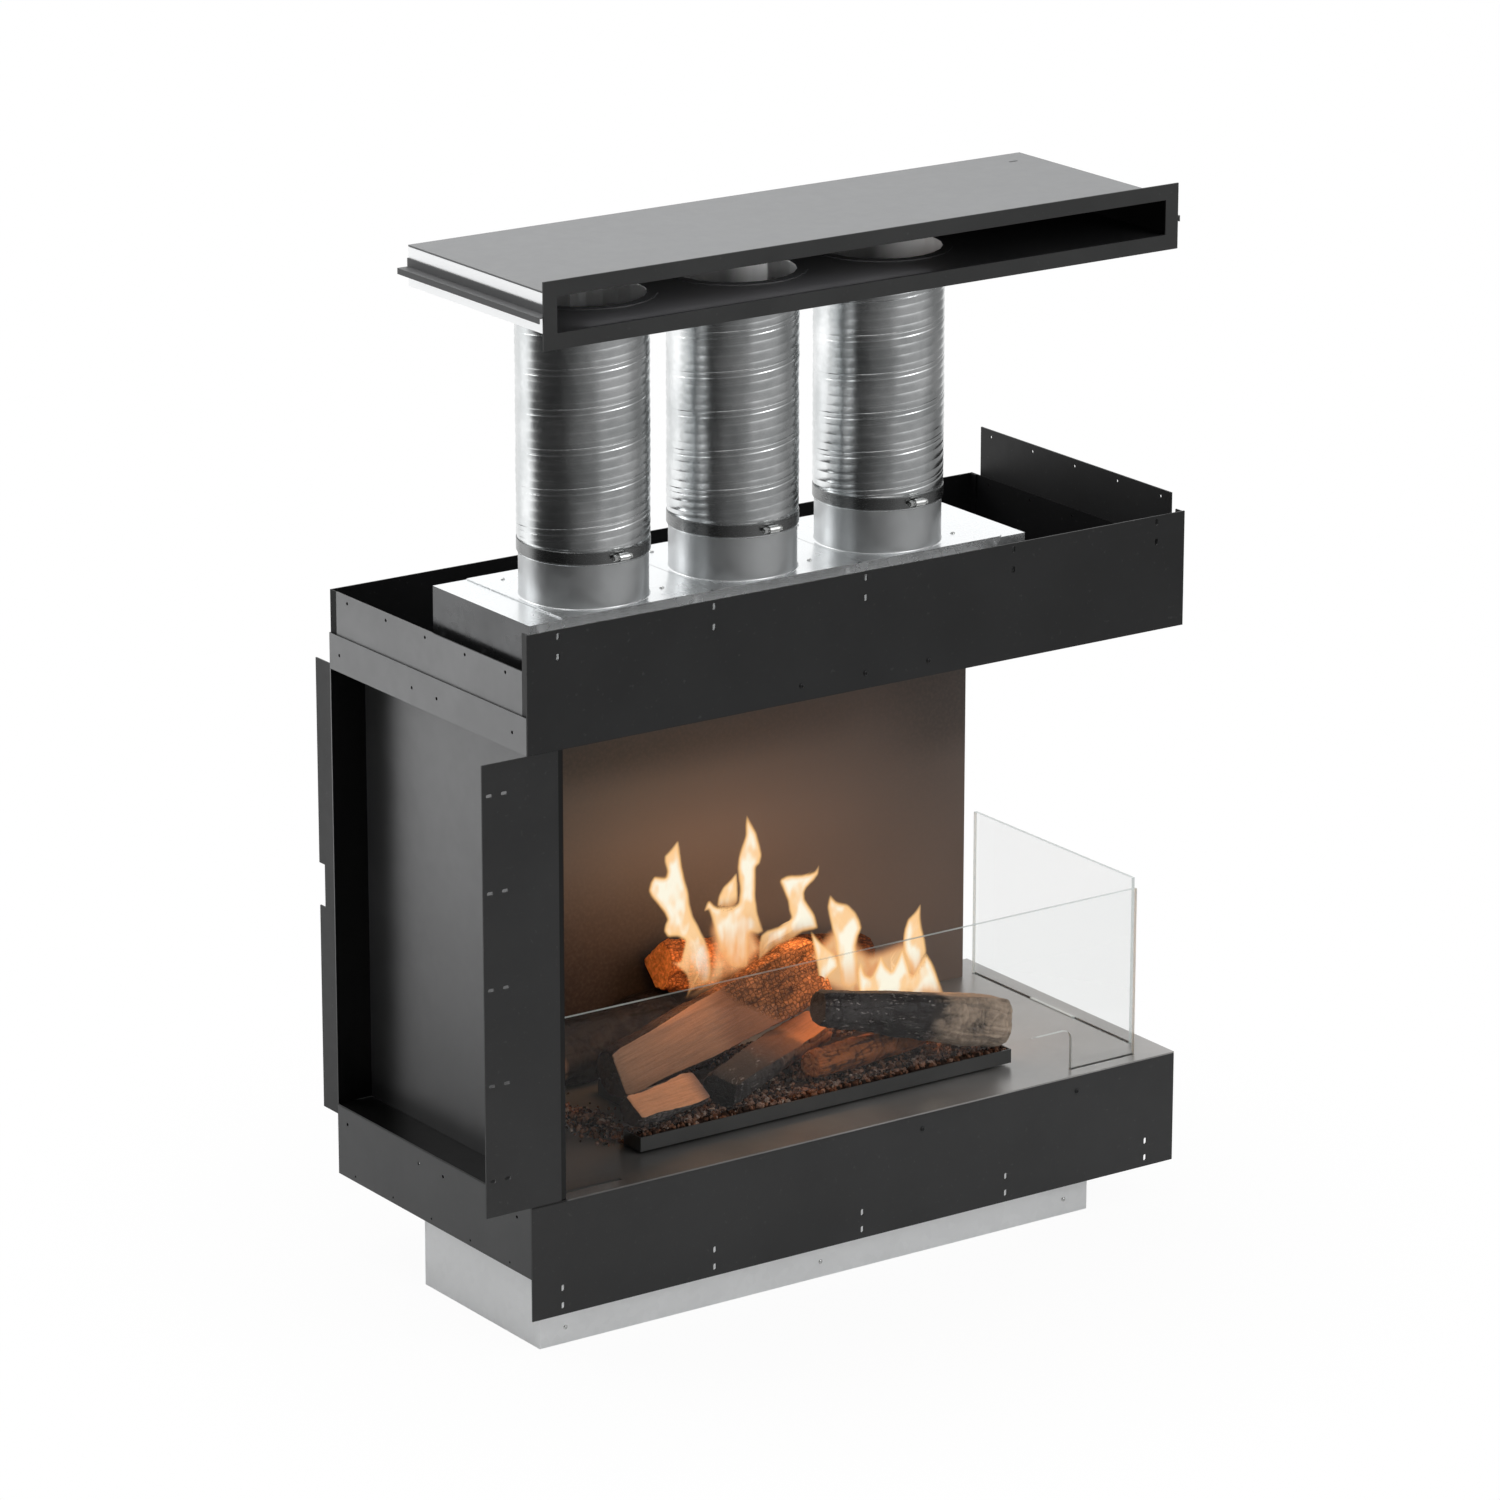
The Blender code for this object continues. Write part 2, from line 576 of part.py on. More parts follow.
def build_firebox():
    low, high = HEARTH_TOP + FIT, CEILING_UNDER - FIT
    lip = PANEL_INNER - PANEL_LIP
    back = CASING_DEPTH - SHEET
    outline = [(0, CASING_DEPTH), (0, back), (RECESS_DEPTH, back),
               (RECESS_DEPTH, PANEL_FRONT + SHEET), (lip, PANEL_FRONT + SHEET),
               (lip, PANEL_FRONT), (PANEL_INNER, PANEL_FRONT), (PANEL_INNER, CASING_DEPTH)]
    prism("firebox_left_panel", outline, "Z", low, high, FIREBOX_STEEL)
    left, inner = PANEL_INNER + FIT, BACK_PANEL_RIGHT - SHEET
    rear, end = BACK_PANEL_Y + SHEET, BACK_PANEL_Y + BACK_PANEL_RETURN
    outline = [(left, BACK_PANEL_Y), (BACK_PANEL_RIGHT, BACK_PANEL_Y), (BACK_PANEL_RIGHT, end),
               (inner, end), (inner, rear), (left, rear)]
    prism("firebox_back_panel", outline, "Z", low, high, FIREBOX_STEEL)
    side = SHEET * 2 + FIT * 2
    ceiling = block("firebox_ceiling", (side, SHEET + FIT, CEILING_UNDER),
                    (CASING_WIDTH - side, CASING_DEPTH - SHEET - FIT, CEILING_TOP), PAINTED_STEEL)
    clear(ceiling, (HOOD_LEFT + HOOD_INTAKE_MARGIN, HOOD_FRONT + HOOD_INTAKE_MARGIN,
                    CEILING_UNDER - OVERRUN),
          (HOOD_RIGHT - HOOD_INTAKE_MARGIN, HOOD_BACK - HOOD_INTAKE_MARGIN,
           CEILING_TOP + OVERRUN), "_hood_intake")


def build_trim():
    low, high = HEARTH_TOP + FIT, CEILING_UNDER - FIT
    plate = block("front_left_trim_plate", (-TRIM_OVERHANG, 0.0, low), (TRIM_INSET, SHEET, high),
                  PAINTED_STEEL)
    first = HEARTH_TOP + TRIM_SLOT_FOOT
    pitch = (OPENING_HEIGHT - TRIM_SLOT_FOOT - TRIM_SLOT_HEAD) / (SLOT_PAIRS - 1)
    stretch = (SLOT_LENGTH - SLOT_WIDTH, 0.0)
    left = TRIM_SLOT_EDGE - TRIM_OVERHANG
    outlines = [hole_outline((x, z), SLOT_WIDTH / 2, stretch)
                for z in row(first, pitch, SLOT_PAIRS) for x in (left, left + TRIM_SLOT_STEP)]
    drill(plate, outlines, "Y", 0.0, SHEET)
    start = CASING_DEPTH + FIT
    end = start + REAR_FLANGE_DEPTH
    outline = [(0, start), (REAR_FLANGE_LEG, start), (REAR_FLANGE_LEG, start + SHEET),
               (SHEET, start + SHEET), (SHEET, end), (0, end)]
    foot = HEARTH_TOP - REAR_FLANGE_FOOT
    flange = prism("rear_left_flange", outline, "Z", foot, CEILING_UNDER + REAR_FLANGE_HEAD,
                   PAINTED_STEEL)
    notch = foot + REAR_NOTCH_FOOT
    clear(flange, (-OVERRUN, end - REAR_NOTCH_DEPTH, notch),
          (SHEET + OVERRUN, end + OVERRUN, notch + REAR_NOTCH_HEIGHT))


def build_upper_ring():
    top = CEILING_UNDER + UPPER_FASCIA_HEIGHT
    front = fascia("upper_front_fascia", CEILING_UNDER, top)
    outlines = fascia_slots(top - UPPER_SLOT_EDGE - UPPER_SLOT_STEP, UPPER_SLOT_STEP)
    outlines += [hole_outline(place, SCREW_HOLE_RADIUS) for place in upper_screw_places()]
    drill(front, outlines, "Y", 0.0, SHEET)
    back_strip("upper_back_strip", CEILING_UNDER, UPPER_STRIP_TOP)

    seam = CEILING_UNDER + LEFT_STRIP_HEIGHT
    strip = side_strip("upper_left_strip", 0.0, CEILING_UNDER, seam)
    hole_row = CEILING_UNDER + STRIP_HOLE_EDGE
    outlines = [hole_outline((y, hole_row), HOLE_RADIUS) for y in strip_hole_places()]
    drill(strip, outlines, "X", 0.0, SHEET)
    flange = block("upper_left_flange", (SHEET + FIT, CORNER_TAB + FIT, seam - LEFT_FLANGE_LAP),
                   (SHEET * 2 + FIT, CASING_DEPTH - CORNER_TAB - FIT, UPPER_STRIP_TOP),
                   PAINTED_STEEL)
    top_row = UPPER_STRIP_TOP - FLANGE_HOLE_EDGE
    outlines = [hole_outline((y, top_row), HOLE_RADIUS) for y in flange_hole_places()]
    drill(flange, outlines, "X", SHEET, SHEET * 2)

    face = CASING_WIDTH - SHEET
    strip = side_strip("upper_right_strip", face, CEILING_UNDER, UPPER_STRIP_TOP)
    shared_row = [hole_outline((y, top_row), HOLE_RADIUS) for y in flange_hole_places()]
    outlines = [hole_outline((y, hole_row), HOLE_RADIUS) for y in strip_hole_places()]
    drill(strip, outlines + shared_row, "X", face, CASING_WIDTH)
    low = UPPER_STRIP_TOP - RIGHT_FLANGE_LAP
    high = low + RIGHT_FLANGE_HEIGHT
    flange = block("upper_right_flange", (CASING_WIDTH + FIT, RIGHT_FLANGE_FRONT, low),
                   (CASING_WIDTH + FIT + SHEET, CASING_DEPTH - RIGHT_FLANGE_BACK, high),
                   PAINTED_STEEL)
    outlines = [hole_outline((y, high - FLANGE_HOLE_EDGE), HOLE_RADIUS)
                for y in flange_hole_places()]
    drill(flange, outlines + shared_row, "X", CASING_WIDTH, CASING_WIDTH + SHEET)


def build_hood():
    half_x, half_y = HOOD_WIDTH / 2, HOOD_DEPTH / 2
    centre = (HOOD_LEFT + half_x, HOOD_FRONT + half_y)
    wall = GALVANISED
    levels = [(half_x, half_y, HOOD_TOP), (half_x, half_y, HOOD_FOOT),
              (half_x - wall, half_y - wall, HOOD_FOOT),
              (half_x - wall, half_y - wall, HOOD_TOP - wall)]
    hood = basin("convection_hood", levels, centre, GALVANISED_STEEL)
    bores = [hole_outline((x, DUCT_Y), SPIGOT_BORE, sides=ROUND_SIDES) for x in duct_places()]
    screws = [hole_outline(place, SCREW_HOLE_RADIUS)
              for x in duct_places() for place in spigot_screw_places(x)]
    drill(hood, bores + screws, "Z", HOOD_TOP, HOOD_TOP)
    for i, x in enumerate(duct_places(), 1):
        build_spigot(f"spigot_{i}", x)
        build_duct(f"duct_{i}", x)


def build_spigot(name, x):
    """A sheet collar on its own square plate, standing on the hood's top."""
    left = x - SPIGOT_PLATE_LEFT
    plate = block(name, (left + FIT, HOOD_FRONT + FIT, SPIGOT_BASE),
                  (left + DUCT_PITCH - FIT, HOOD_BACK - FIT, SPIGOT_BASE + SPIGOT_WALL),
                  GALVANISED_STEEL)
    top = SPIGOT_BASE + SPIGOT_HEIGHT
    tube = prism(name + "_tube", hole_outline((x, DUCT_Y), SPIGOT_RADIUS, sides=ROUND_SIDES), "Z",
                 SPIGOT_BASE, top, None)
    boolean(plate, tube, "UNION")
    outlines = [hole_outline(place, SCREW_HOLE_RADIUS) for place in spigot_screw_places(x)]
    outlines.append(hole_outline((x, DUCT_Y), SPIGOT_BORE, sides=ROUND_SIDES))
    drill(plate, outlines, "Z", SPIGOT_BASE, top)


def build_duct(name, x):
    """A ribbed flexible duct: plain cuffs at both ends, a plain bore and ribs between."""
    low, high = DUCT_LOW + DUCT_CUFF, DUCT_HIGH - DUCT_CUFF
    ribs = round((high - low) / RIB_PITCH)
    pitch = (high - low) / ribs
    profile = [(DUCT_BORE, DUCT_LOW), (DUCT_VALLEY, DUCT_LOW)]
    for i in range(ribs):
        profile.append((DUCT_VALLEY, low + pitch * i))
        profile.append((DUCT_CREST, low + pitch * (i + 0.5)))
    profile += [(DUCT_VALLEY, high), (DUCT_VALLEY, DUCT_HIGH), (DUCT_BORE, DUCT_HIGH)]
    round_piece(name, profile, (x, DUCT_Y, 0.0), ROUND_SIDES, ALUMINIUM_FOIL)


def clamp_levels():
    """Foot levels of the clamp bands: low on each duct's cuff, and high on its other one."""
    return {"lower": DUCT_LOW + BAND_EDGE, "upper": DUCT_HIGH - BAND_EDGE - BAND_HEIGHT}


def build_clamps():
    """A worm clamp round each cuff: the band with its saddle, and the screw across it."""
    inner = DUCT_VALLEY + FIT
    outer = inner + BAND_THICKNESS
    seat = DUCT_Y - (inner + outer) / 2 * FLAT_SHARE
    worm_y = DUCT_Y - outer - WORM_OFFSET
    bore = (WORM_RADIUS + FIT) / math.cos(math.pi / WORM_SIDES)
    half = SADDLE_LENGTH / 2
    for level, foot in clamp_levels().items():
        top = foot + BAND_HEIGHT
        middle = foot + BAND_HEIGHT / 2
        profile = [(inner, foot), (outer, foot), (outer, top), (inner, top)]
        for i, x in enumerate(duct_places(), 1):
            name = f"{level}_clamp_band_{i}"
            band = round_piece(name, profile, (x, DUCT_Y, 0.0), ROUND_SIDES, CLAMP_STEEL)
            saddle = block(name + "_saddle", (x - half, seat - SADDLE_DEPTH, foot),
                           (x + half, seat, top), None)
            boolean(band, saddle, "UNION")
            drill(band, [hole_outline((worm_y, middle), bore, sides=WORM_SIDES)], "X",
                  x - half, x + half)
            build_worm(f"{level}_clamp_screw_{i}", (x, worm_y, middle))


def build_worm(name, place):
    """A clamp's worm screw, with its origin on its own axis and its head to the left."""
    half = SADDLE_LENGTH / 2
    screw = prism(name, hole_outline((0.0, 0.0), WORM_RADIUS, sides=WORM_SIDES), "X",
                  -half - WORM_END, half + WORM_END, CLAMP_STEEL)
    head = prism(name + "_head", hole_outline((0.0, 0.0), WORM_HEAD_RADIUS, sides=WORM_HEAD_SIDES),
                 "X", -half - FIT - WORM_HEAD_LENGTH, -half - FIT, None)
    head.parent = screw
    boolean(screw, head, "UNION")
    screw.location = place


def build_outlet():
    half_x = OUTLET_WIDTH / 2
    front = OUTLET_FRONT + SHEET + FIT
    wall = GALVANISED
    side_top = OUTLET_TOP - SHEET - FIT
    half_y = (OUTLET_BACK - front) / 2
    centre = (half_x, front + half_y)
    levels = [(half_x, half_y, OUTLET_FLOOR), (half_x, half_y, side_top),
              (half_x - wall, half_y - wall, side_top),
              (half_x - wall, half_y - wall, OUTLET_FLOOR + wall)]
    tray = basin("outlet_box", levels, centre, GALVANISED_STEEL)
    clear(tray, (wall, front - OVERRUN, OUTLET_FLOOR + wall),
          (OUTLET_WIDTH - wall, front + wall + OVERRUN, side_top + OVERRUN), "_mouth")
    add_collars(tray)

    lid = block("outlet_top_plate", (0.0, front, OUTLET_TOP - SHEET),
                (OUTLET_WIDTH, OUTLET_BACK, OUTLET_TOP), OUTLET_GREY)
    drill(lid, key_slots(), "Z", OUTLET_TOP - SHEET, OUTLET_TOP)

    frame = block("outlet_frame", (-FRAME_SIDE, OUTLET_FRONT, OUTLET_FLOOR - FRAME_BELOW),
                  (OUTLET_WIDTH + FRAME_SIDE, OUTLET_FRONT + SHEET, OUTLET_TOP + FRAME_ABOVE),
                  PAINTED_STEEL)
    inner = FRAME_BORDER - FRAME_SIDE
    clear(frame, (inner, OUTLET_FRONT - OVERRUN, OUTLET_FLOOR - FRAME_BELOW + FRAME_BORDER),
          (OUTLET_WIDTH - inner, OUTLET_FRONT + SHEET + OVERRUN,
           OUTLET_TOP + FRAME_ABOVE - FRAME_BORDER), "_opening")

    level = OUTLET_FLOOR + BRACKET_HEIGHT
    shelf = [(-FIT, level + BRACKET_LEG), (-FIT - wall, level + BRACKET_LEG),
             (-FIT - wall, level + wall), (-BRACKET_REACH, level + wall),
             (-BRACKET_REACH, level - BRACKET_LIP), (wall - BRACKET_REACH, level - BRACKET_LIP),
             (wall - BRACKET_REACH, level), (-FIT, level)]
    prism("outlet_bracket_left", shelf, "Y", front, OUTLET_BACK, GALVANISED_STEEL)
    mirrored = [(OUTLET_WIDTH - x, z) for x, z in shelf]
    prism("outlet_bracket_right", mirrored, "Y", front, OUTLET_BACK, GALVANISED_STEEL)


def add_collars(tray):
    """Collars welded through the box's floor, each with a flat flange inside, then bored."""
    wall = GALVANISED
    seat = OUTLET_FLOOR + wall
    places = duct_places()
    tubes = [hole_outline((x, DUCT_Y), SPIGOT_RADIUS, sides=ROUND_SIDES) for x in places]
    flanges = [hole_outline((x, DUCT_Y), SPIGOT_RADIUS + COLLAR_FLANGE, sides=ROUND_SIDES)
               for x in places]
    bores = [hole_outline((x, DUCT_Y), SPIGOT_BORE, sides=ROUND_SIDES) for x in places]
    foot = OUTLET_FLOOR - COLLAR_DROP
    boolean(tray, prisms("outlet_collar_tubes", tubes, "Z", foot, seat, None), "UNION")
    boolean(tray, prisms("outlet_collar_flanges", flanges, "Z", seat - wall / 2,
                         seat + SPIGOT_WALL, None), "UNION")
    drill(tray, bores, "Z", foot, seat)


def key_slots():
    """Hanging slots near both ends of the outlet's top plate."""
    stretch = (KEY_SLOT_LENGTH - KEY_SLOT_WIDTH, 0.0)
    inset = FRAME_BORDER * 2
    places = [(inset, OUTLET_FRONT + inset), (inset * 2, OUTLET_FRONT + inset),
              (OUTLET_WIDTH - inset, OUTLET_FRONT + inset),
              (OUTLET_WIDTH - inset, OUTLET_BACK - inset)]
    return [hole_outline(place, KEY_SLOT_WIDTH / 2, stretch) for place in places]


def build_burner():
    wall = GALVANISED
    half_x, half_y = HOUSING_WIDTH / 2, HOUSING_DEPTH / 2
    centre = (HOUSING_LEFT + half_x, HOUSING_FRONT + half_y)
    levels = [(half_x, half_y, -HOUSING_DROP), (half_x, half_y, HOUSING_TOP),
              (half_x - wall, half_y - wall, HOUSING_TOP),
              (half_x - wall, half_y - wall, wall - HOUSING_DROP)]
    housing = basin("burner_housing", levels, centre, GALVANISED_STEEL)
    screws = [hole_outline(place, SCREW_HOLE_RADIUS) for place in housing_screw_places()]
    drill(housing, screws, "Y", HOUSING_FRONT, HOUSING_FRONT)

    left, right = HOUSING_LEFT, HOUSING_LEFT + HOUSING_WIDTH
    low = HOUSING_TOP - HANGER_LAP
    for side, face, out in (("left", left, -1), ("right", right, 1)):
        web, skin, toe = face + out * FIT, face + out * (FIT + wall), face + out * HANGER_FOOT
        outline = [(web, low), (skin, low), (skin, LOWER_RING_TOP - wall),
                   (toe, LOWER_RING_TOP - wall), (toe, LOWER_RING_TOP), (web, LOWER_RING_TOP)]
        prism(f"housing_hanger_{side}", outline, "Y", HOUSING_FRONT + HANGER_MARGIN,
              HOUSING_FRONT + HOUSING_DEPTH - HANGER_MARGIN, GALVANISED_STEEL)

    half_x, half_y = TANK_LENGTH / 2, TANK_WIDTH / 2
    centre = (BURNER_X, TANK_Y)
    rim_low = HEARTH_TOP + FIT
    foot = HEARTH_TOP - TANK_HEIGHT
    levels = [(half_x, half_y, foot), (half_x, half_y, rim_low),
              (half_x + TANK_RIM, half_y + TANK_RIM, rim_low),
              (half_x + TANK_RIM, half_y + TANK_RIM, BURNER_RIM_TOP),
              (half_x - wall, half_y - wall, BURNER_RIM_TOP),
              (half_x - wall, half_y - wall, foot + wall)]
    basin("burner_tank", levels, centre, STAINLESS_STEEL)
    side = wall + FIT
    block("burner_wool", (BURNER_X - half_x + side, TANK_FRONT + side, foot + side),
          (BURNER_X + half_x - side, TANK_BACK - side, foot + side + WOOL_HEIGHT), CERAMIC_WOOL)
    build_burner_top(half_x + TANK_RIM, half_y + TANK_RIM)


def build_burner_top(half_x, half_y):
    """The slotted top plate with two end guides, and the shutter that slides between them."""
    plate = block("burner_top_plate", (BURNER_X - half_x, TANK_Y - half_y, BURNER_TOP_LOW),
                  (BURNER_X + half_x, TANK_Y + half_y, BURNER_TOP), STAINLESS_STEEL)
    reach = FLAME_SLOT_LENGTH / 2
    half = FLAME_SLOT_WIDTH / 2
    clear(plate, (BURNER_X - reach, FLAME_SLOT_Y - half, BURNER_TOP_LOW - OVERRUN),
          (BURNER_X + reach, FLAME_SLOT_Y + half, BURNER_TOP + OVERRUN), "_slot")
    low = BURNER_TOP + FIT
    width = FLAME_SLOT_WIDTH + SHUTTER_LAP * 2
    end = reach + SHUTTER_LAP
    shutter = block("burner_shutter", (-end, 0.0, 0.0), (end, width, GALVANISED), STAINLESS_STEEL)
    tab = block("burner_shutter_tab", (-SHUTTER_TAB_LENGTH / 2, SHUTTER_TAB_SETBACK, GALVANISED / 2),
                (SHUTTER_TAB_LENGTH / 2, SHUTTER_TAB_SETBACK + GALVANISED, GALVANISED + SHUTTER_TAB),
                None)
    tab.parent = shutter
    boolean(shutter, tab, "UNION")
    shutter.location = (BURNER_X, SHUTTER_PARK, low)
    lip = low + GALVANISED + FIT
    root = BURNER_TOP - JOIN
    guides = []
    for out in (-1, 1):
        web = BURNER_X + out * (end + FIT)
        skin, toe = web + out * GALVANISED, web - out * GUIDE_WIDTH
        guides.append([(web, root), (skin, root), (skin, lip + GALVANISED),
                       (toe, lip + GALVANISED), (toe, lip), (web, lip)])
    rails = prisms("burner_top_guides", guides, "Y", SHUTTER_PARK, FLAME_SLOT_Y + half + SHUTTER_LAP, None)
    boolean(plate, rails, "UNION")


def tray_outline(inset):
    """The tray seen from above: the kerb in front, then the narrower body, all inset."""
    step = KERB_BACK - inset
    return [(KERB_LEFT + inset, KERB_FRONT + inset), (KERB_RIGHT - inset, KERB_FRONT + inset),
            (KERB_RIGHT - inset, step), (TRAY_RIGHT - inset, step),
            (TRAY_RIGHT - inset, TRAY_BACK - inset), (TRAY_LEFT + inset, TRAY_BACK - inset),
            (TRAY_LEFT + inset, step), (KERB_LEFT + inset, step)]


def build_tray():
    """A folded tray with an open underside, and the ember bed that fills it."""
    wall = GALVANISED
    floor = TRAY_BED - wall
    tray = prism("ember_tray", tray_outline(0.0), "Z", TRAY_LOW, TRAY_RIM, PAINTED_STEEL)
    boolean(tray, prism("ember_tray_pocket", tray_outline(wall), "Z", TRAY_BED,
                        TRAY_RIM + OVERRUN, None))
    boolean(tray, prism("ember_tray_underside", tray_outline(wall), "Z", TRAY_LOW - OVERRUN,
                        floor, None))
    clear(tray, (KERB_LEFT - OVERRUN, KERB_FRONT - OVERRUN, TRAY_LOW - OVERRUN),
          (KERB_RIGHT + OVERRUN, KERB_BACK - wall - FIT, TRAY_LOW + KERB_TOE), "_toe")
    reach = FLAME_SLOT_LENGTH / 2 + WINDOW_MARGIN
    half = FLAME_SLOT_WIDTH / 2 + WINDOW_MARGIN
    window = ((BURNER_X - reach, FLAME_SLOT_Y - half, floor - OVERRUN),
              (BURNER_X + reach, FLAME_SLOT_Y + half, TRAY_RIM + OVERRUN))
    clear(tray, *window, "_window")
    build_embers(wall + FIT, window)


def ruled(stops):
    """Grid lines through all the stops, in equal steps of about the embers' pitch between them."""
    lines = [stops[0]]
    for low, high in zip(stops, stops[1:]):
        steps = max(1, round((high - low) / EMBER_PITCH))
        lines += [low + (high - low) * (step + 1) / steps for step in range(steps)]
    return lines


def build_embers(inset, window):
    """One slab that fills the tray around the window: flat below, small uneven humps on top."""
    (left, front, _), (right, back, _) = window
    columns = ruled([KERB_LEFT + inset, TRAY_LEFT + inset, left, right, TRAY_RIGHT - inset,
                     KERB_RIGHT - inset])
    rows = ruled([KERB_FRONT + inset, KERB_BACK - inset, front, back, TRAY_BACK - inset])

    def filled(i, j):
        if not (0 <= i < len(columns) - 1 and 0 <= j < len(rows) - 1):
            return False
        x = (columns[i] + columns[i + 1]) / 2
        y = (rows[j] + rows[j + 1]) / 2
        in_kerb = y < KERB_BACK - inset
        in_body = TRAY_LEFT + inset < x < TRAY_RIGHT - inset
        return (in_kerb or in_body) and not (left < x < right and front < y < back)

    bm = bmesh.new()
    corners = {}

    def corner(i, j, level):
        if (i, j, level) not in corners:
            hump = math.prod(math.sin(i * a + j * b) for a, b in EMBER_WAVES)
            z = EMBER_TOP + EMBER_ROUGHNESS * hump if level else TRAY_BED + FIT
            corners[i, j, level] = bm.verts.new((columns[i], rows[j], z))
        return corners[i, j, level]

    for i in range(len(columns) - 1):
        for j in range(len(rows) - 1):
            if not filled(i, j):
                continue
            around = [(i, j), (i + 1, j), (i + 1, j + 1), (i, j + 1)]
            bm.faces.new([corner(*place, 1) for place in around])
            bm.faces.new([corner(*place, 0) for place in reversed(around)])
            beyond = [(i, j - 1), (i + 1, j), (i, j + 1), (i - 1, j)]
            for here, there, cell in zip(around, around[1:] + around[:1], beyond):
                if not filled(*cell):
                    bm.faces.new((corner(*here, 0), corner(*there, 0), corner(*there, 1),
                                  corner(*here, 1)))
    finish_mesh("ember_bed", bm, EMBER_CHIPS)


def build_glass():
    low = GLASS_FOOT
    top = HEARTH_TOP + GLASS_TOP
    arch = HEARTH_TOP + GLASS_ARCH_HEIGHT
    (left, left_end), (right_start, right) = front_leg_spans()
    outline = [(left, low), (left_end, low)]
    outline += arc((left_end + GLASS_ARCH_RADIUS, arch - GLASS_ARCH_RADIUS), 180, 90)
    outline += arc((right_start - GLASS_ARCH_RADIUS, arch - GLASS_ARCH_RADIUS), 90, 0)
    outline += [(right_start, low), (right, low), (right, top), (left, top)]
    half = GLASS / 2
    prism("glass_front", outline, "Y", GLASS_FRONT_Y - half, GLASS_FRONT_Y + half, CLEAR_GLASS)
    (front, front_end), (back_start, back) = tenon_spans()
    edge = HEARTH_TOP + GLASS_LIFT_GAP
    outline = [(front, low), (front_end, low), (front_end, edge), (back_start, edge),
               (back_start, low), (back, low), (back, top), (front, top)]
    prism("glass_right", outline, "X", GLASS_RIGHT_X - half, GLASS_RIGHT_X + half, CLEAR_GLASS)
    prism("glass_channel_front", channel(GLASS_FRONT_Y), "X", left, right, GALVANISED_STEEL)
    prism("glass_channel_right", channel(GLASS_RIGHT_X), "Y", front, back, GALVANISED_STEEL)


def channel(middle):
    """The section of the channel under the hearth that a pane's foot stands in."""
    inner = GLASS / 2 + GLASS_PLAY
    outer = inner + GALVANISED
    floor = GLASS_FOOT - FIT
    return [(middle - outer, LOWER_RING_TOP), (middle - outer, floor - GALVANISED),
            (middle + outer, floor - GALVANISED), (middle + outer, LOWER_RING_TOP),
            (middle + inner, LOWER_RING_TOP), (middle + inner, floor), (middle - inner, floor),
            (middle - inner, LOWER_RING_TOP)]


def arc(centre, start, end, steps=3):
    """Points of a rounded corner of the glass, from one angle in degrees to another."""
    points = []
    for i in range(steps + 1):
        angle = math.radians(start + (end - start) * i / steps)
        points.append((centre[0] + GLASS_ARCH_RADIUS * math.cos(angle),
                       centre[1] + GLASS_ARCH_RADIUS * math.sin(angle)))
    return points


def log_section(radius, height_share, faces, ring):
    """One ring of a log: round and a little uneven, cut flat where the wood was split."""
    points = []
    for i in range(LOG_SIDES):
        angle = math.tau * i / LOG_SIDES
        uneven = 1 + LOG_WOBBLE_SHARE * math.sin(ring * LOG_WAVES[0] + i * LOG_WAVES[1])
        point = Vector((math.cos(angle), math.sin(angle))) * uneven
        for turn, depth_share in faces:
            out = Vector((math.cos(math.tau * turn), math.sin(math.tau * turn)))
            point -= out * max(0.0, point.dot(out) - depth_share)
        points.append((point.x * radius, point.y * radius * height_share))
    return points


def build_log(name, shares):
    """Rings of a split log bridged from end to end."""
    start, end = log_end(shares[0]), log_end(shares[1])
    along = (end - start).normalized()
    across = Vector((0, 0, 1)).cross(along).normalized()
    above = along.cross(across)
    bm = bmesh.new()
    loops = []
    for ring, (place, girth) in enumerate(zip(LOG_RING_SHARES, LOG_GIRTH_SHARES)):
        centre = start.lerp(end, place)
        radius = LOG_RADIUS * girth * (shares[2][0] * (1 - place) + shares[2][1] * place)
        section = log_section(radius, shares[3], shares[4], ring)
        loops.append([bm.verts.new(centre + across * a + above * b) for a, b in section])
    for lower, upper in zip(loops, loops[1:]):
        for i in range(LOG_SIDES):
            bm.faces.new((lower[i - 1], lower[i], upper[i], upper[i - 1]))
    bm.faces.new(loops[0])
    bm.faces.new(loops[-1])
    bmesh.ops.triangulate(bm, faces=bm.faces)
    finish = {"log_6": LOG_SPLIT, "log_7": LOG_CHAR}.get(name, LOG_BARK)
    return finish_mesh(name, bm, finish)


def log_end(shares):
    return Vector((KERB_LEFT + KERB_LENGTH * shares[0], BACK_PANEL_Y * shares[1],
                   HEARTH_TOP + OPENING_HEIGHT * shares[2]))


def surface_tree(pieces):
    """A search tree of the faces of some pieces, as their modifiers leave them."""
    graph = bpy.context.evaluated_depsgraph_get()
    verts, faces = [], []
    for piece in pieces:
        mesh = piece.evaluated_get(graph).to_mesh()
        mesh.calc_loop_triangles()
        start = len(verts)
        verts += [piece.matrix_world @ vert.co for vert in mesh.vertices]
        faces += [[start + i for i in face.vertices] for face in mesh.loop_triangles]
        piece.evaluated_get(graph).to_mesh_clear()
    return verts, faces


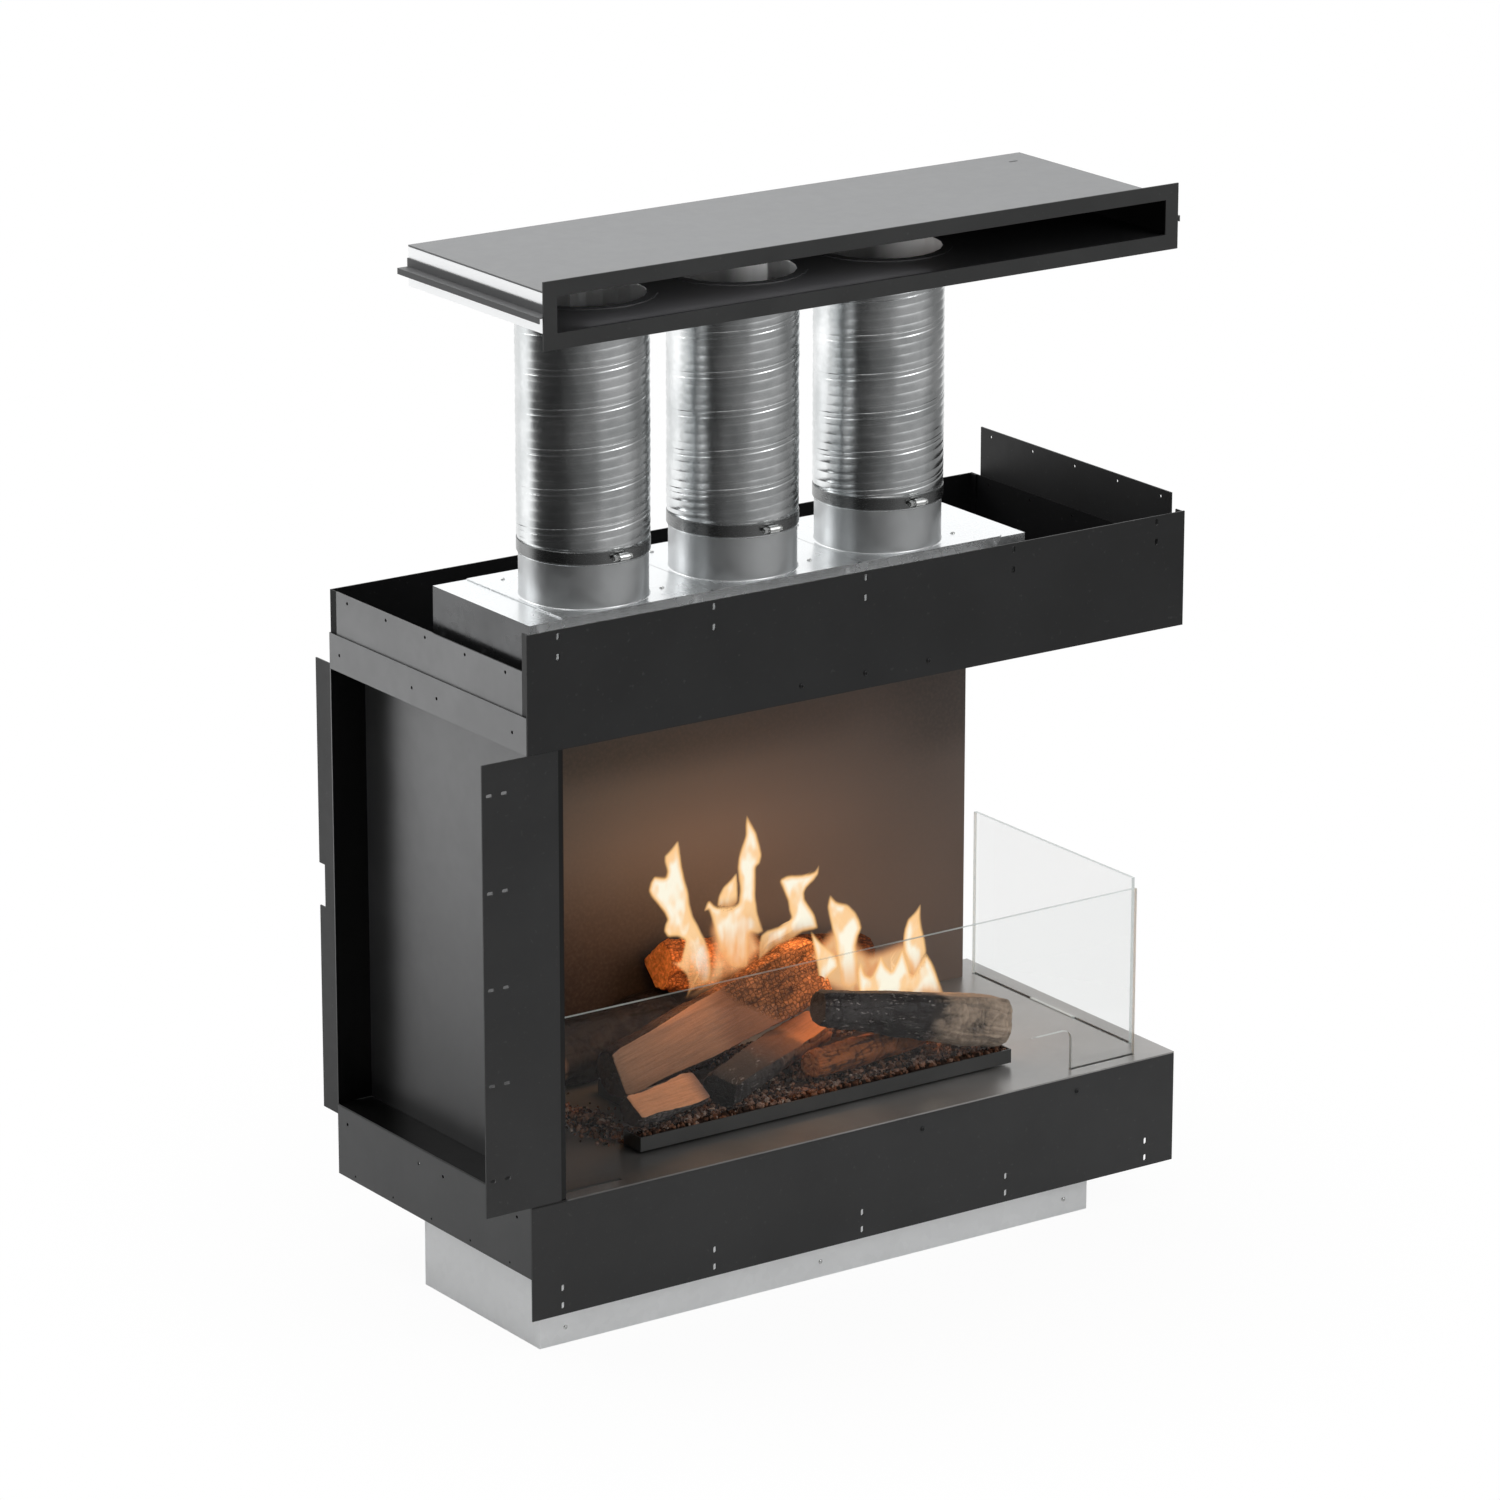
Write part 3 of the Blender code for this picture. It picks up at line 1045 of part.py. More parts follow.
def settle(piece, below):
    """Lower a log from above until it is the fitting gap away from what lies below it."""
    verts, faces = surface_tree(below)
    ground = BVHTree.FromPolygons(verts, faces, epsilon=0.0)
    own, own_faces = surface_tree([piece])

    def touches(lift):
        moved = [point + Vector((0, 0, lift)) for point in own]
        return bool(BVHTree.FromPolygons(moved, own_faces, epsilon=0.0).overlap(ground))

    lift = LOWER_HEIGHT
    while not touches(lift - DROP_STEP):
        lift -= DROP_STEP
    blocked = lift - DROP_STEP
    while lift - blocked > DROP_ACCURACY:
        middle = (lift + blocked) / 2
        if touches(middle):
            blocked = middle
        else:
            lift = middle
    for vert in piece.data.vertices:
        vert.co.z += lift + FIT


def build_logs():
    bpy.context.view_layer.update()
    below = [bpy.data.objects[name] for name in ("hearth_plate", "ember_tray", "ember_bed")]
    for name, shares in LOG_SHARES.items():
        log = build_log(name, shares)
        bpy.context.view_layer.update()
        settle(log, below)
        below.append(log)


def centre_model():
    """Move every piece so that the outline's middle and foot lie at the origin."""
    bpy.context.view_layer.update()
    graph = bpy.context.evaluated_depsgraph_get()
    pieces = [piece for piece in bpy.context.scene.objects if not piece.hide_render]
    corners = []
    for piece in pieces:
        shape = piece.evaluated_get(graph)
        corners += [shape.matrix_world @ Vector(corner) for corner in shape.bound_box]
    low = [min(corner[i] for corner in corners) for i in range(3)]
    high = [max(corner[i] for corner in corners) for i in range(3)]
    shift = Vector((-(low[0] + high[0]) / 2, -(low[1] + high[1]) / 2, -low[2]))
    for piece in bpy.context.scene.objects:
        if piece.parent is None:
            piece.location += shift
    print("origin moved by", [round(value, 6) for value in shift])


def main():
    for left_over in list(bpy.data.objects):
        bpy.data.objects.remove(left_over, do_unlink=True)
    build_lower_ring()
    build_hearth()
    build_firebox()
    build_trim()
    build_upper_ring()
    build_hood()
    build_clamps()
    build_outlet()
    build_burner()
    build_tray()
    build_glass()
    build_logs()
    centre_model()


main()
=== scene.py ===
import json
import math

import bpy
import numpy as np
from mathutils import Matrix, Vector

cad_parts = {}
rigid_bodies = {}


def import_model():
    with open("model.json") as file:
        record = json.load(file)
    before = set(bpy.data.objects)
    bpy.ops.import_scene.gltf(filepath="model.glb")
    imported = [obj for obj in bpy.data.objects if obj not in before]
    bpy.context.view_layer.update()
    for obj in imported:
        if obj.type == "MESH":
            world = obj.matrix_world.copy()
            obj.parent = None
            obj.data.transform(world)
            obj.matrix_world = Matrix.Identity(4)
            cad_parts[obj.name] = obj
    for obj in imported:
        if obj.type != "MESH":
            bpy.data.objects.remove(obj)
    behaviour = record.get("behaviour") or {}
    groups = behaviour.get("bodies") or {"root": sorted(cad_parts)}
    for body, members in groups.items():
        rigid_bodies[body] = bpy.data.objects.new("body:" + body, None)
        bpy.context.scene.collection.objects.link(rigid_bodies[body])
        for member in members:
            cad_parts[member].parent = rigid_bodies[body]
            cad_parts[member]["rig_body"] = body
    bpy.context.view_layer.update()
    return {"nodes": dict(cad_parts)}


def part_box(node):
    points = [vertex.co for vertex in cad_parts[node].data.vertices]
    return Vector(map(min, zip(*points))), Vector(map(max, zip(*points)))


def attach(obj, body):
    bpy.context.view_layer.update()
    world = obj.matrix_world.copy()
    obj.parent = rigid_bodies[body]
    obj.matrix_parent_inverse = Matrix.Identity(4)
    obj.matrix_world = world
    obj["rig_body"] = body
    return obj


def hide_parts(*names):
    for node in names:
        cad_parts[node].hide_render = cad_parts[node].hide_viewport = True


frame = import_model()
NODES = frame["nodes"]

# The casing's own frame is in millimetres from its front left foot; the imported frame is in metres.
CASING_ORIGIN = np.array((-0.4684, -0.21415, 0.048))
MM = 0.001
TURN = 2 * math.pi

CAMERA_PLACE = (-4.7333, -6.81195, 3.2211)
CAMERA_YAW = math.radians(34.828)
CAMERA_PITCH = math.radians(17.227)
CAMERA_ROLL = math.radians(0.04)
CAMERA_LENS = 164.344
SENSOR_WIDTH = 36.0


def casing(points):
    """Points in the casing's millimetres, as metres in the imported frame."""
    return np.asarray(points, float) * MM + CASING_ORIGIN


def make_camera():
    """The photograph's viewing angle: yaw turned from +Y towards +X, pitch downwards."""
    yaw, pitch, roll = CAMERA_YAW, CAMERA_PITCH, CAMERA_ROLL
    forward = Vector((math.sin(yaw) * math.cos(pitch), math.cos(yaw) * math.cos(pitch), -math.sin(pitch)))
    right = Vector((math.cos(yaw), -math.sin(yaw), 0))
    up = right.cross(forward)
    side = right * math.cos(roll) + up * math.sin(roll)
    top = up * math.cos(roll) - right * math.sin(roll)
    data = bpy.data.cameras.new("camera")
    data.lens = CAMERA_LENS
    data.sensor_width = SENSOR_WIDTH
    camera = bpy.data.objects.new("camera", data)
    bpy.context.scene.collection.objects.link(camera)
    turned = Matrix((side, top, -forward)).transposed().to_4x4()
    camera.matrix_world = Matrix.Translation(CAMERA_PLACE) @ turned
    bpy.context.scene.camera = camera


# Shader maths

class Wire:
    """A value on its way through a node tree. A sum written with it adds Math nodes."""

    def __init__(self, tree, socket):
        self.tree, self.socket = tree, socket

    def math(self, operation, *terms):
        return self.tree.add("Math", {"operation": operation}, dict(enumerate(terms)))

    def ramp(self, low, high):
        """0 at low, 1 at high, straight between and held outside."""
        return self.tree.add("MapRange", {"clamp": True}, {0: self, 1: low, 2: high, 3: 0.0, 4: 1.0})

    def smooth(self, low, high):
        """0 at low, 1 at high, with soft ends."""
        return self.tree.add("MapRange", {"clamp": True, "interpolation_type": "SMOOTHSTEP"},
                             {0: self, 1: low, 2: high, 3: 0.0, 4: 1.0})

    def __add__(self, other):
        return self.math("ADD", self, other)

    def __radd__(self, other):
        return self.math("ADD", other, self)

    def __sub__(self, other):
        return self.math("SUBTRACT", self, other)

    def __rsub__(self, other):
        return self.math("SUBTRACT", other, self)

    def __mul__(self, other):
        return self.math("MULTIPLY", self, other)

    def __truediv__(self, other):
        return self.math("DIVIDE", self, other)

    def __pow__(self, other):
        return self.math("POWER", self, other)


class Tree:
    """A node tree that is filled from an empty start."""

    def __init__(self, owner):
        owner.use_nodes = True
        self.nodes, self.links = owner.node_tree.nodes, owner.node_tree.links
        self.nodes.clear()

    def add(self, kind, settings=None, sockets=None, out=0):
        """A node of a type, with its settings first and then its sockets' values or links."""
        node = self.nodes.new("ShaderNode" + kind)
        for key, value in (settings or {}).items():
            if key == "stops":
                self.fill_ramp(node.color_ramp, value)
            else:
                setattr(node, key, value)
        for key, value in (sockets or {}).items():
            if isinstance(value, Wire):
                self.links.new(value.socket, node.inputs[key])
            elif value is not None:
                node.inputs[key].default_value = value
        return Wire(self, node.outputs[out]) if len(node.outputs) else None

    @staticmethod
    def fill_ramp(ramp, stops):
        while len(ramp.elements) > 1:
            ramp.elements.remove(ramp.elements[-1])
        for i, (place, colour) in enumerate(stops):
            element = ramp.elements[0] if i == 0 else ramp.elements.new(place)
            element.position, element.color = place, rgba(colour)

    def mix(self, share, first, second, blend="MIX"):
        """One colour over another by a share from 0 to 1."""
        ends = [rgba(end) if not isinstance(end, Wire) else end for end in (first, second)]
        return self.add("Mix", {"data_type": "RGBA", "blend_type": blend},
                        {0: share, 6: ends[0], 7: ends[1]}, out=2)

    def seen(self):
        """1 for the camera's own rays, straight or through glass."""
        ray = self.nodes.new("ShaderNodeLightPath")
        straight, through = (Wire(self, ray.outputs[f"Is {kind} Ray"]) for kind in ("Camera", "Transmission"))
        return straight.math("MAXIMUM", straight, through)

    def times(self, first, second):
        """One colour multiplied by another."""
        return self.mix(1.0, first, second, "MULTIPLY")

    def stops(self, stops, place):
        """The colour at a place along stops of (place, colour)."""
        return self.add("ValToRGB", {"stops": stops}, {0: place})

    def split(self, vector):
        """The X, Y and Z of a vector."""
        node = self.nodes.new("ShaderNodeSeparateXYZ")
        self.links.new(vector.socket, node.inputs[0])
        return [Wire(self, output) for output in node.outputs]


def rgba(colour):
    if isinstance(colour, Wire):
        return colour
    if isinstance(colour, (int, float)):
        colour = (colour,) * 3
    return (*colour, 1.0) if len(colour) == 3 else tuple(colour)


def scaled(colour, share):
    return tuple(min(1.0, c * share) for c in colour)


NOISE_ROUGHNESS = 0.55


class Finish(Tree):
    """A procedural material. Its patterns stand in the object's own metres."""

    def __init__(self, name):
        self.material = bpy.data.materials.new(name)
        super().__init__(self.material)
        self.place = self.add("TexCoord", out=3)

    def at(self, scale, shift=(0, 0, 0)):
        return self.add("Mapping", {}, {"Vector": self.place, "Location": shift, "Scale": scale})

    def noise(self, scale, detail, stretch=(1, 1, 1), shift=(0, 0, 0)):
        """Noise from 0 to 1 with that many waves to the metre. It runs long where stretch is small."""
        place = self.at(tuple(scale * side for side in stretch), shift)
        return self.add("TexNoise", {}, {"Vector": place, "Scale": 1.0, "Detail": detail,
                                         "Roughness": NOISE_ROUGHNESS})

    def bump(self, height, distance, strength):
        return self.add("Bump", {}, {"Height": height, "Distance": distance, "Strength": strength})

    def normal(self):
        """The face's own direction, as X, Y and Z."""
        return self.split(self.add("NewGeometry", out=1))

    def surface(self, base, rough, relief=None, **more):
        """The whole shader. Relief is what bump() takes, and other sockets' names have underscores
        for spaces."""
        sockets = {"Base Color": base, "Roughness": rough}
        sockets.update({key.replace("_", " "): value for key, value in more.items()})
        if relief:
            sockets["Normal"] = self.bump(*relief)
        self.add("OutputMaterial", {}, {0: self.add("BsdfPrincipled", {}, sockets)})
        return self.material

    def attribute(self, name, out=2):
        return self.add("Attribute", {"attribute_name": name}, out=out)


def dress(material, *names):
    """Give CAD nodes a finish through their own material slots."""
    for name in names:
        for slot in NODES[name].material_slots:
            slot.material = material


def painted_sheet(name, colour, gloss, mottling=0.12, specular=0.5, metallic=0.0, fades=(), folds=None,
                  inner=None):
    """Powder coat: a fine orange peel, faint clouds in tone and sheen, and faint pale dust patches. A fade
    (axis, start, stop, share) keeps a share of the tone before its start. Folds give the tone of the faces
    that don't look to the left, and inner that of the ones that look to the right."""
    f = Finish(name)
    cloud = f.noise(7, 4)
    peel = f.noise(900, 2)
    base = f.mix(cloud.smooth(0.3, 0.7), scaled(colour, 1 - mottling), scaled(colour, 1 + mottling))
    dust = f.noise(160, 5).smooth(0.62, 0.78) * 0.10
    base = f.mix(dust, base, 0.25)
    # A fade darkens part of a sheet before its start; the recess panel and the hearth use it for painted
    # shade.
    for axis, start, stop, share in fades:
        base = f.mix(f.split(f.place)[axis].smooth(start, stop), f.mix(share, 0.0, base), base)
    if folds is not None:
        base = f.mix((f.normal()[0] + 1).smooth(0.2, 0.6), base, folds)
    if inner is not None:
        base = f.mix(f.normal()[0].smooth(0.4, 0.8), base, inner)
    rough = gloss + (cloud - 0.5) * 0.16 + (f.noise(60, 3) - 0.5) * 0.10
    return f.surface(base, rough, (peel, 0.00004, 0.5), Metallic=metallic, Specular_IOR_Level=specular)


def galvanised(name, colour, gloss, metallic=0.85, painted_shade_on_left=False, upright=1.0):
    """Zinc sheet: faceted spangle at a low contrast, rolling lines and dull clouds. Faces that look to the
    left may be darker, a painted reflection of the dark casing sheet beside them. Upright faces may keep only
    a share of the tone, which is painted shade, and be rougher, as handled sheet is."""
    f = Finish(name)
    cells = f.add("TexVoronoi", {}, {"Vector": f.place, "Scale": 95.0}, out=1)
    tone = f.split(cells)[0]
    cloud = f.noise(9, 5)
    shade = (tone - 0.5) * 0.10 + (cloud - 0.5) * 0.22 + 0.5
    base = f.mix(shade, scaled(colour, 0.80), scaled(colour, 1.14))
    if painted_shade_on_left:
        # Painted reflection: faces that look to the left take a dark grey, as if mirroring the black ring
        # round the hood.
        left_shade_share = 1 - (f.normal()[0] + 1).smooth(0.02, 0.2)
        base = f.mix(left_shade_share, base, f.mix(cloud, (0.05, 0.051, 0.052), (0.13, 0.132, 0.135)))
    rough = gloss + (tone - 0.5) * 0.08 + (cloud - 0.5) * 0.16
    if upright < 1:
        # Painted shade: upright faces keep only a share of the tone, so they read darker than the lit faces
        # that look up.
        level = f.normal()[2]
        level = level.math("ABSOLUTE", level).smooth(0.3, 0.7)
        base = f.mix(level, f.mix(upright, 0.0, base), base)
        rough = rough + (1 - level) * 0.14
    lines = f.noise(420, 2, stretch=(0.03, 1, 1))
    return f.surface(base, rough, (lines, 0.00003, 0.4), Metallic=metallic)


def foil(name):
    """Aluminium foil: mirror-like with fine crinkles and dull rubbed patches."""
    f = Finish(name)
    crinkle = f.noise(120, 5)
    patch = f.noise(16, 4)
    scratch = f.noise(60, 3, stretch=(1, 1, 9))
    base = f.mix(patch.smooth(0.3, 0.75), (0.60, 0.62, 0.625), (0.84, 0.855, 0.86))
    rough = 0.17 + patch * 0.08 + scratch * 0.05
    return f.surface(base, rough, (crinkle, 0.0003, 0.22), Metallic=1.0)


def bright_steel(name, colour, gloss):
    """Stamped stainless steel with brushing round it."""
    f = Finish(name)
    brushed = f.noise(700, 2, stretch=(0.2, 0.2, 1))
    patch = f.noise(45, 3)
    base = f.mix(patch, scaled(colour, 0.75), colour)
    return f.surface(base, gloss + brushed * 0.12, (brushed, 0.00004, 0.4), Metallic=1.0)


def firebox_wall(name):
    """Heat-proof paint on the back wall: warmer and paler to the right and darker and reddish low on the
    left, with painted firelight in a pale band over the flames, painted shade in the upper right corner and
    more painted shade low on the left."""
    f = Finish(name)
    x, _, z = f.split(f.place)
    cloud = f.noise(5, 4)
    right = (x + (cloud - 0.5) * 0.12).smooth(-0.42, 0.30)
    high = (z + (cloud - 0.5) * 0.10).smooth(0.22, 0.80)
    low_tone = f.mix(right, (0.020, 0.008, 0.0055), (0.150, 0.115, 0.095))
    high_tone = f.mix(right, (0.048, 0.055, 0.055), (0.072, 0.067, 0.066))
    base = f.mix(high, low_tone, high_tone)
    # Painted light: a pale band of firelight over the flames, shade in the upper right corner and shade low
    # on the left.
    lit = z.smooth(0.38, 0.50) * (1 - z.smooth(0.55, 0.61)) * (1 - x.ramp(-0.07, 0.42))
    corner = z.smooth(0.50, 0.56) * x.smooth(0.30, 0.46)
    shaded = (1 - z.smooth(0.30, 0.42)) * (1 - x.smooth(-0.05, 0.12))
    base = f.times(base, lit * 0.85 - corner * 0.35 - shaded * 0.5 + 1.0)
    base = f.mix(f.noise(210, 4).smooth(0.35, 0.8) * 0.22, base, (0.16, 0.12, 0.10))
    base = f.mix(f.normal()[1].smooth(0.4, 0.8), base, f.mix(cloud, 0.018, 0.026))
    return f.surface(base, 0.55 + (cloud - 0.5) * 0.16, (f.noise(700, 2), 0.00005, 0.5),
                     Specular_IOR_Level=0.35)


def clear_pane(name):
    """Toughened clear glass with a trace of dust and ground, paler edges. The front pane's upper edge
    is fainter where the fire is behind it."""
    f = Finish(name)
    nx, ny, _ = f.normal()
    x, _, z = f.split(f.place)
    low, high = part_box(name)
    side = ny if high.x - low.x > high.y - low.y else nx
    facing = (side * side).smooth(0.3, 0.7)
    clear = x.smooth(-0.30, -0.25) * (1 - x.smooth(0.07, 0.12)) * z.smooth(0.30, 0.32)
    edge = z.math("MAXIMUM", z.smooth(high.z - 0.02, high.z - 0.01), x.smooth(0.31, 0.33))
    edge = (1 - facing) * (1 - clear * 0.55) * edge
    smear = f.noise(26, 4).smooth(0.58, 0.85) * 0.05
    mirror = f.add("BsdfPrincipled", {},
                   {"Base Color": rgba(0.95), "Metallic": 1.0, "Roughness": 0.02 + smear})
    through = f.add("BsdfTransparent", {}, {"Color": (0.996, 0.999, 0.998, 1)})
    shine = f.add("Fresnel", {}, {"IOR": 1.45})
    glass = f.add("MixShader", {}, {0: (shine * 0.14 + smear * 0.04) * facing, 1: through, 2: mirror})
    ground = f.add("BsdfPrincipled", {}, {
        "Base Color": f.mix(f.noise(300, 2), (0.62, 0.70, 0.68), (0.86, 0.92, 0.90)), "Roughness": 0.28})
    f.add("OutputMaterial", {}, {0: f.add("MixShader", {}, {0: edge * 0.75, 1: glass, 2: ground})})
    return f.material


def outlet_sheet(name):
    """The outlet box: bare zinc outside, darker where it looks backwards as painted shade, dark paint inside,
    and collars for the hoses whose bores are painted dark on their left and with a pale highlight on their
    right. A face is outside where it looks away from the middle of the box."""
    f = Finish(name)
    low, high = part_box("outlet_box")
    middle = (low + high) / 2
    away = f.add("VectorMath", {"operation": "SUBTRACT"},
                 {0: f.place, 1: (middle.x, middle.y, high.z - 0.02)})
    outside = f.add("VectorMath", {"operation": "DOT_PRODUCT"},
                    {0: f.add("NewGeometry", out=1), 1: away}, out=1).smooth(-0.001, 0.001)
    cloud = f.noise(9, 4)
    zinc_tone = f.mix(cloud, (0.86, 0.87, 0.875), (0.95, 0.955, 0.96))
    # Painted shade: zinc that looks backwards is darker.
    painted_back_shade = f.mix(cloud, (0.46, 0.47, 0.475), (0.60, 0.61, 0.615))
    zinc_tone = f.mix(f.normal()[1].smooth(0.4, 0.8), zinc_tone, painted_back_shade)
    dark_tone = f.mix(cloud, (0.012, 0.012, 0.013), (0.028, 0.028, 0.029))
    x, y, z = f.split(f.place)
    first, pitch = casing((DUCT_X[0], DUCT_Y, 0)), (DUCT_X[1] - DUCT_X[0]) * MM
    along = (x - first[0]) / pitch + 0.5
    along = (along - along.math("FLOOR", along) - 0.5) * pitch
    far = (along * along + (y - first[1]) * (y - first[1])) ** 0.5
    over_ducts = x.smooth(-0.425, -0.415) * (1 - x.smooth(0.22, 0.23))
    bore = (1 - far.smooth(0.0790, 0.0796)) * (1 - f.normal()[2].smooth(0.3, 0.7)) * over_ducts
    # Painted light in the collars' bores: dark on the left of each, a pale painted highlight on the right.
    dark_tone = f.mix(bore, dark_tone, f.mix(along.smooth(0.035, 0.076), 0.11, 0.90))
    lip = (1 - far.smooth(0.0925, 0.094)) * z.smooth(low.z + 0.0355, low.z + 0.0362) * over_ducts
    outside = outside * (1 - lip)
    base = f.mix(outside, dark_tone, zinc_tone)
    return f.surface(base, 0.36 + (cloud - 0.5) * 0.12, Metallic=outside * 0.85)


def ceramic_wool(name):
    """Matted white fibres."""
    f = Finish(name)
    fibre = f.noise(260, 6, stretch=(1, 0.25, 1))
    base = f.mix(fibre, (0.62, 0.60, 0.56), (0.88, 0.87, 0.84))
    return f.surface(base, 0.95, (fibre, 0.002, 0.8))


# Surfaces in numpy

LATTICE_SIDE = 64
LATTICE = np.random.default_rng(11).random((LATTICE_SIDE,) * 3)


def lattice_noise(points, size, seed=0):
    """Random values on a lattice with that spacing, blended between its points by soft steps."""
    place = np.asarray(points) / size + seed * 7.31
    cell = np.floor(place).astype(int)
    share = place - cell
    share = share * share * (3 - 2 * share)
    total = np.zeros(len(place))
    for corner in np.ndindex(2, 2, 2):
        weight = np.prod(np.where(corner, share, 1 - share), axis=1)
        i, j, k = ((cell + corner) % LATTICE_SIDE).T
        total += weight * LATTICE[i, j, k]
    return total


def layered_noise(points, size, layers, seed=0):
    """A sum of lattice noises, each at half the spacing and half the weight of the one before."""
    total, weight, reach = 0.0, 0.5, 0.0
    for layer in range(layers):
        total = total + weight * lattice_noise(points, size / 2 ** layer, seed + layer * 3)
        reach += weight
        weight *= 0.5
    return total / reach


class Form:
    """Points in the casing's millimetres, faces, and values on the points, all as arrays."""

    def __init__(self, points, faces, **values):
        self.points = np.asarray(points, float).reshape(-1, 3)
        self.faces = [np.asarray(part, int) for part in faces]
        self.values = values

    def __add__(self, other):
        shift = len(self.points)
        values = {key: np.concatenate([self.values[key], other.values[key]]) for key in self.values}
        return Form(np.vstack([self.points, other.points]),
                    self.faces + [part + shift for part in other.faces], **values)

    def outwards(self):
        """Turn every face over if the enclosed volume comes out negative."""
        volume = 0.0
        for part in self.faces:
            for i in range(1, part.shape[1] - 1):
                a, b, c = (self.points[part[:, k]] for k in (0, i, i + 1))
                volume += np.einsum("ij,ij->i", a, np.cross(b, c)).sum()
        if volume < 0:
            self.faces = [part[:, ::-1] for part in self.faces]
        return self

    def piece(self, name, material, slot=None, node=None, body="casing", smooth=True, sharp=None):
        """A Blender object at the origin that rides on a body. It takes a material slot of the record, which
        is not used, and may replace a CAD node."""
        mesh = bpy.data.meshes.new(name)
        loops = np.concatenate([part.ravel() for part in self.faces])
        sides = np.concatenate([np.full(len(part), part.shape[1]) for part in self.faces])
        starts = np.concatenate([[0], np.cumsum(sides)[:-1]])
        mesh.vertices.add(len(self.points))
        mesh.vertices.foreach_set("co", casing(self.points).astype(np.float32).ravel())
        mesh.loops.add(len(loops))
        mesh.loops.foreach_set("vertex_index", loops.astype(np.int32))
        mesh.polygons.add(len(sides))
        mesh.polygons.foreach_set("loop_start", starts.astype(np.int32))
        mesh.polygons.foreach_set("use_smooth", np.full(len(sides), smooth))
        for key, value in self.values.items():
            wide = value.ndim == 2
            layer = mesh.attributes.new(key, "FLOAT_VECTOR" if wide else "FLOAT", "POINT")
            layer.data.foreach_set("vector" if wide else "value", value.astype(np.float32).ravel())
        mesh.update(calc_edges=True)
        mesh.validate()
        if sharp is not None:
            mesh.set_sharp_from_angle(angle=math.radians(sharp))
        mesh.materials.append(material)
        made = bpy.data.objects.new(name, mesh)
        bpy.context.scene.collection.objects.link(made)
        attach(made, body)
        if node:
            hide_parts(node)
        return made


def spread(*parts):
    """Arrays that are repeated to one shape, as the coordinates of points."""
    return np.stack(np.broadcast_arrays(*parts), axis=-1)


def turns(count):
    """Angles all the way round, without the first one again at the end."""
    return np.linspace(0, TURN, count, endpoint=False)


def upright(radius, turn, level):
    """Points at a radius and a turn from an upright axis."""
    return spread(radius * np.cos(turn), radius * np.sin(turn), level)


def grid_faces(rows, columns, wrap_rows=False, wrap_columns=False):
    """Quads between the points of a grid that is stored row by row."""
    i = np.arange(rows if wrap_rows else rows - 1)[:, None]
    j = np.arange(columns if wrap_columns else columns - 1)[None, :]
    i2, j2 = (i + 1) % rows, (j + 1) % columns
    quads = [i * columns + j, i * columns + j2, i2 * columns + j2, i2 * columns + j]
    return spread(*quads).reshape(-1, 4)


def revolved(profile, centre, sides):
    """A closed profile of (radius, level) carried round an upright axis: each point of it goes round a
    circle."""
    profile = np.asarray(profile, float)
    points = upright(profile[:, :1], turns(sides), profile[:, 1:]) + centre
    return Form(points, [grid_faces(len(profile), sides, True, True)]).outwards()


def capped(rings, **values):
    """Rings of points joined in order, with a fan of triangles from the middle of each end ring."""
    count, sides = rings.shape[:2]
    points = np.vstack([rings.reshape(-1, 3), rings[0].mean(0), rings[-1].mean(0)])
    step = np.arange(sides)
    after = (step + 1) % sides
    last = (count - 1) * sides
    first_fan = spread(after, step, count * sides)
    last_fan = spread(last + step, last + after, count * sides + 1)
    full = {key: np.concatenate([value, [value[:sides].mean(0)], [value[-sides:].mean(0)]])
            for key, value in values.items()}
    return Form(points, [grid_faces(count, sides, False, True), first_fan, last_fan], **full).outwards()


# Warm air path

DUCT_X = (150.0, 370.5, 591.0)
DUCT_Y = 102.5
DUCT_LOW, DUCT_HIGH = 942.0, 1256.0
DUCT_BORE, DUCT_VALLEY, DUCT_CREST = 80.1, 80.8, 82.0
STRIP_WIDTH = 49.4
RIBS_IN_STRIP = 4
CUFF = 16.5
LOCK_WIDTH = 5.2


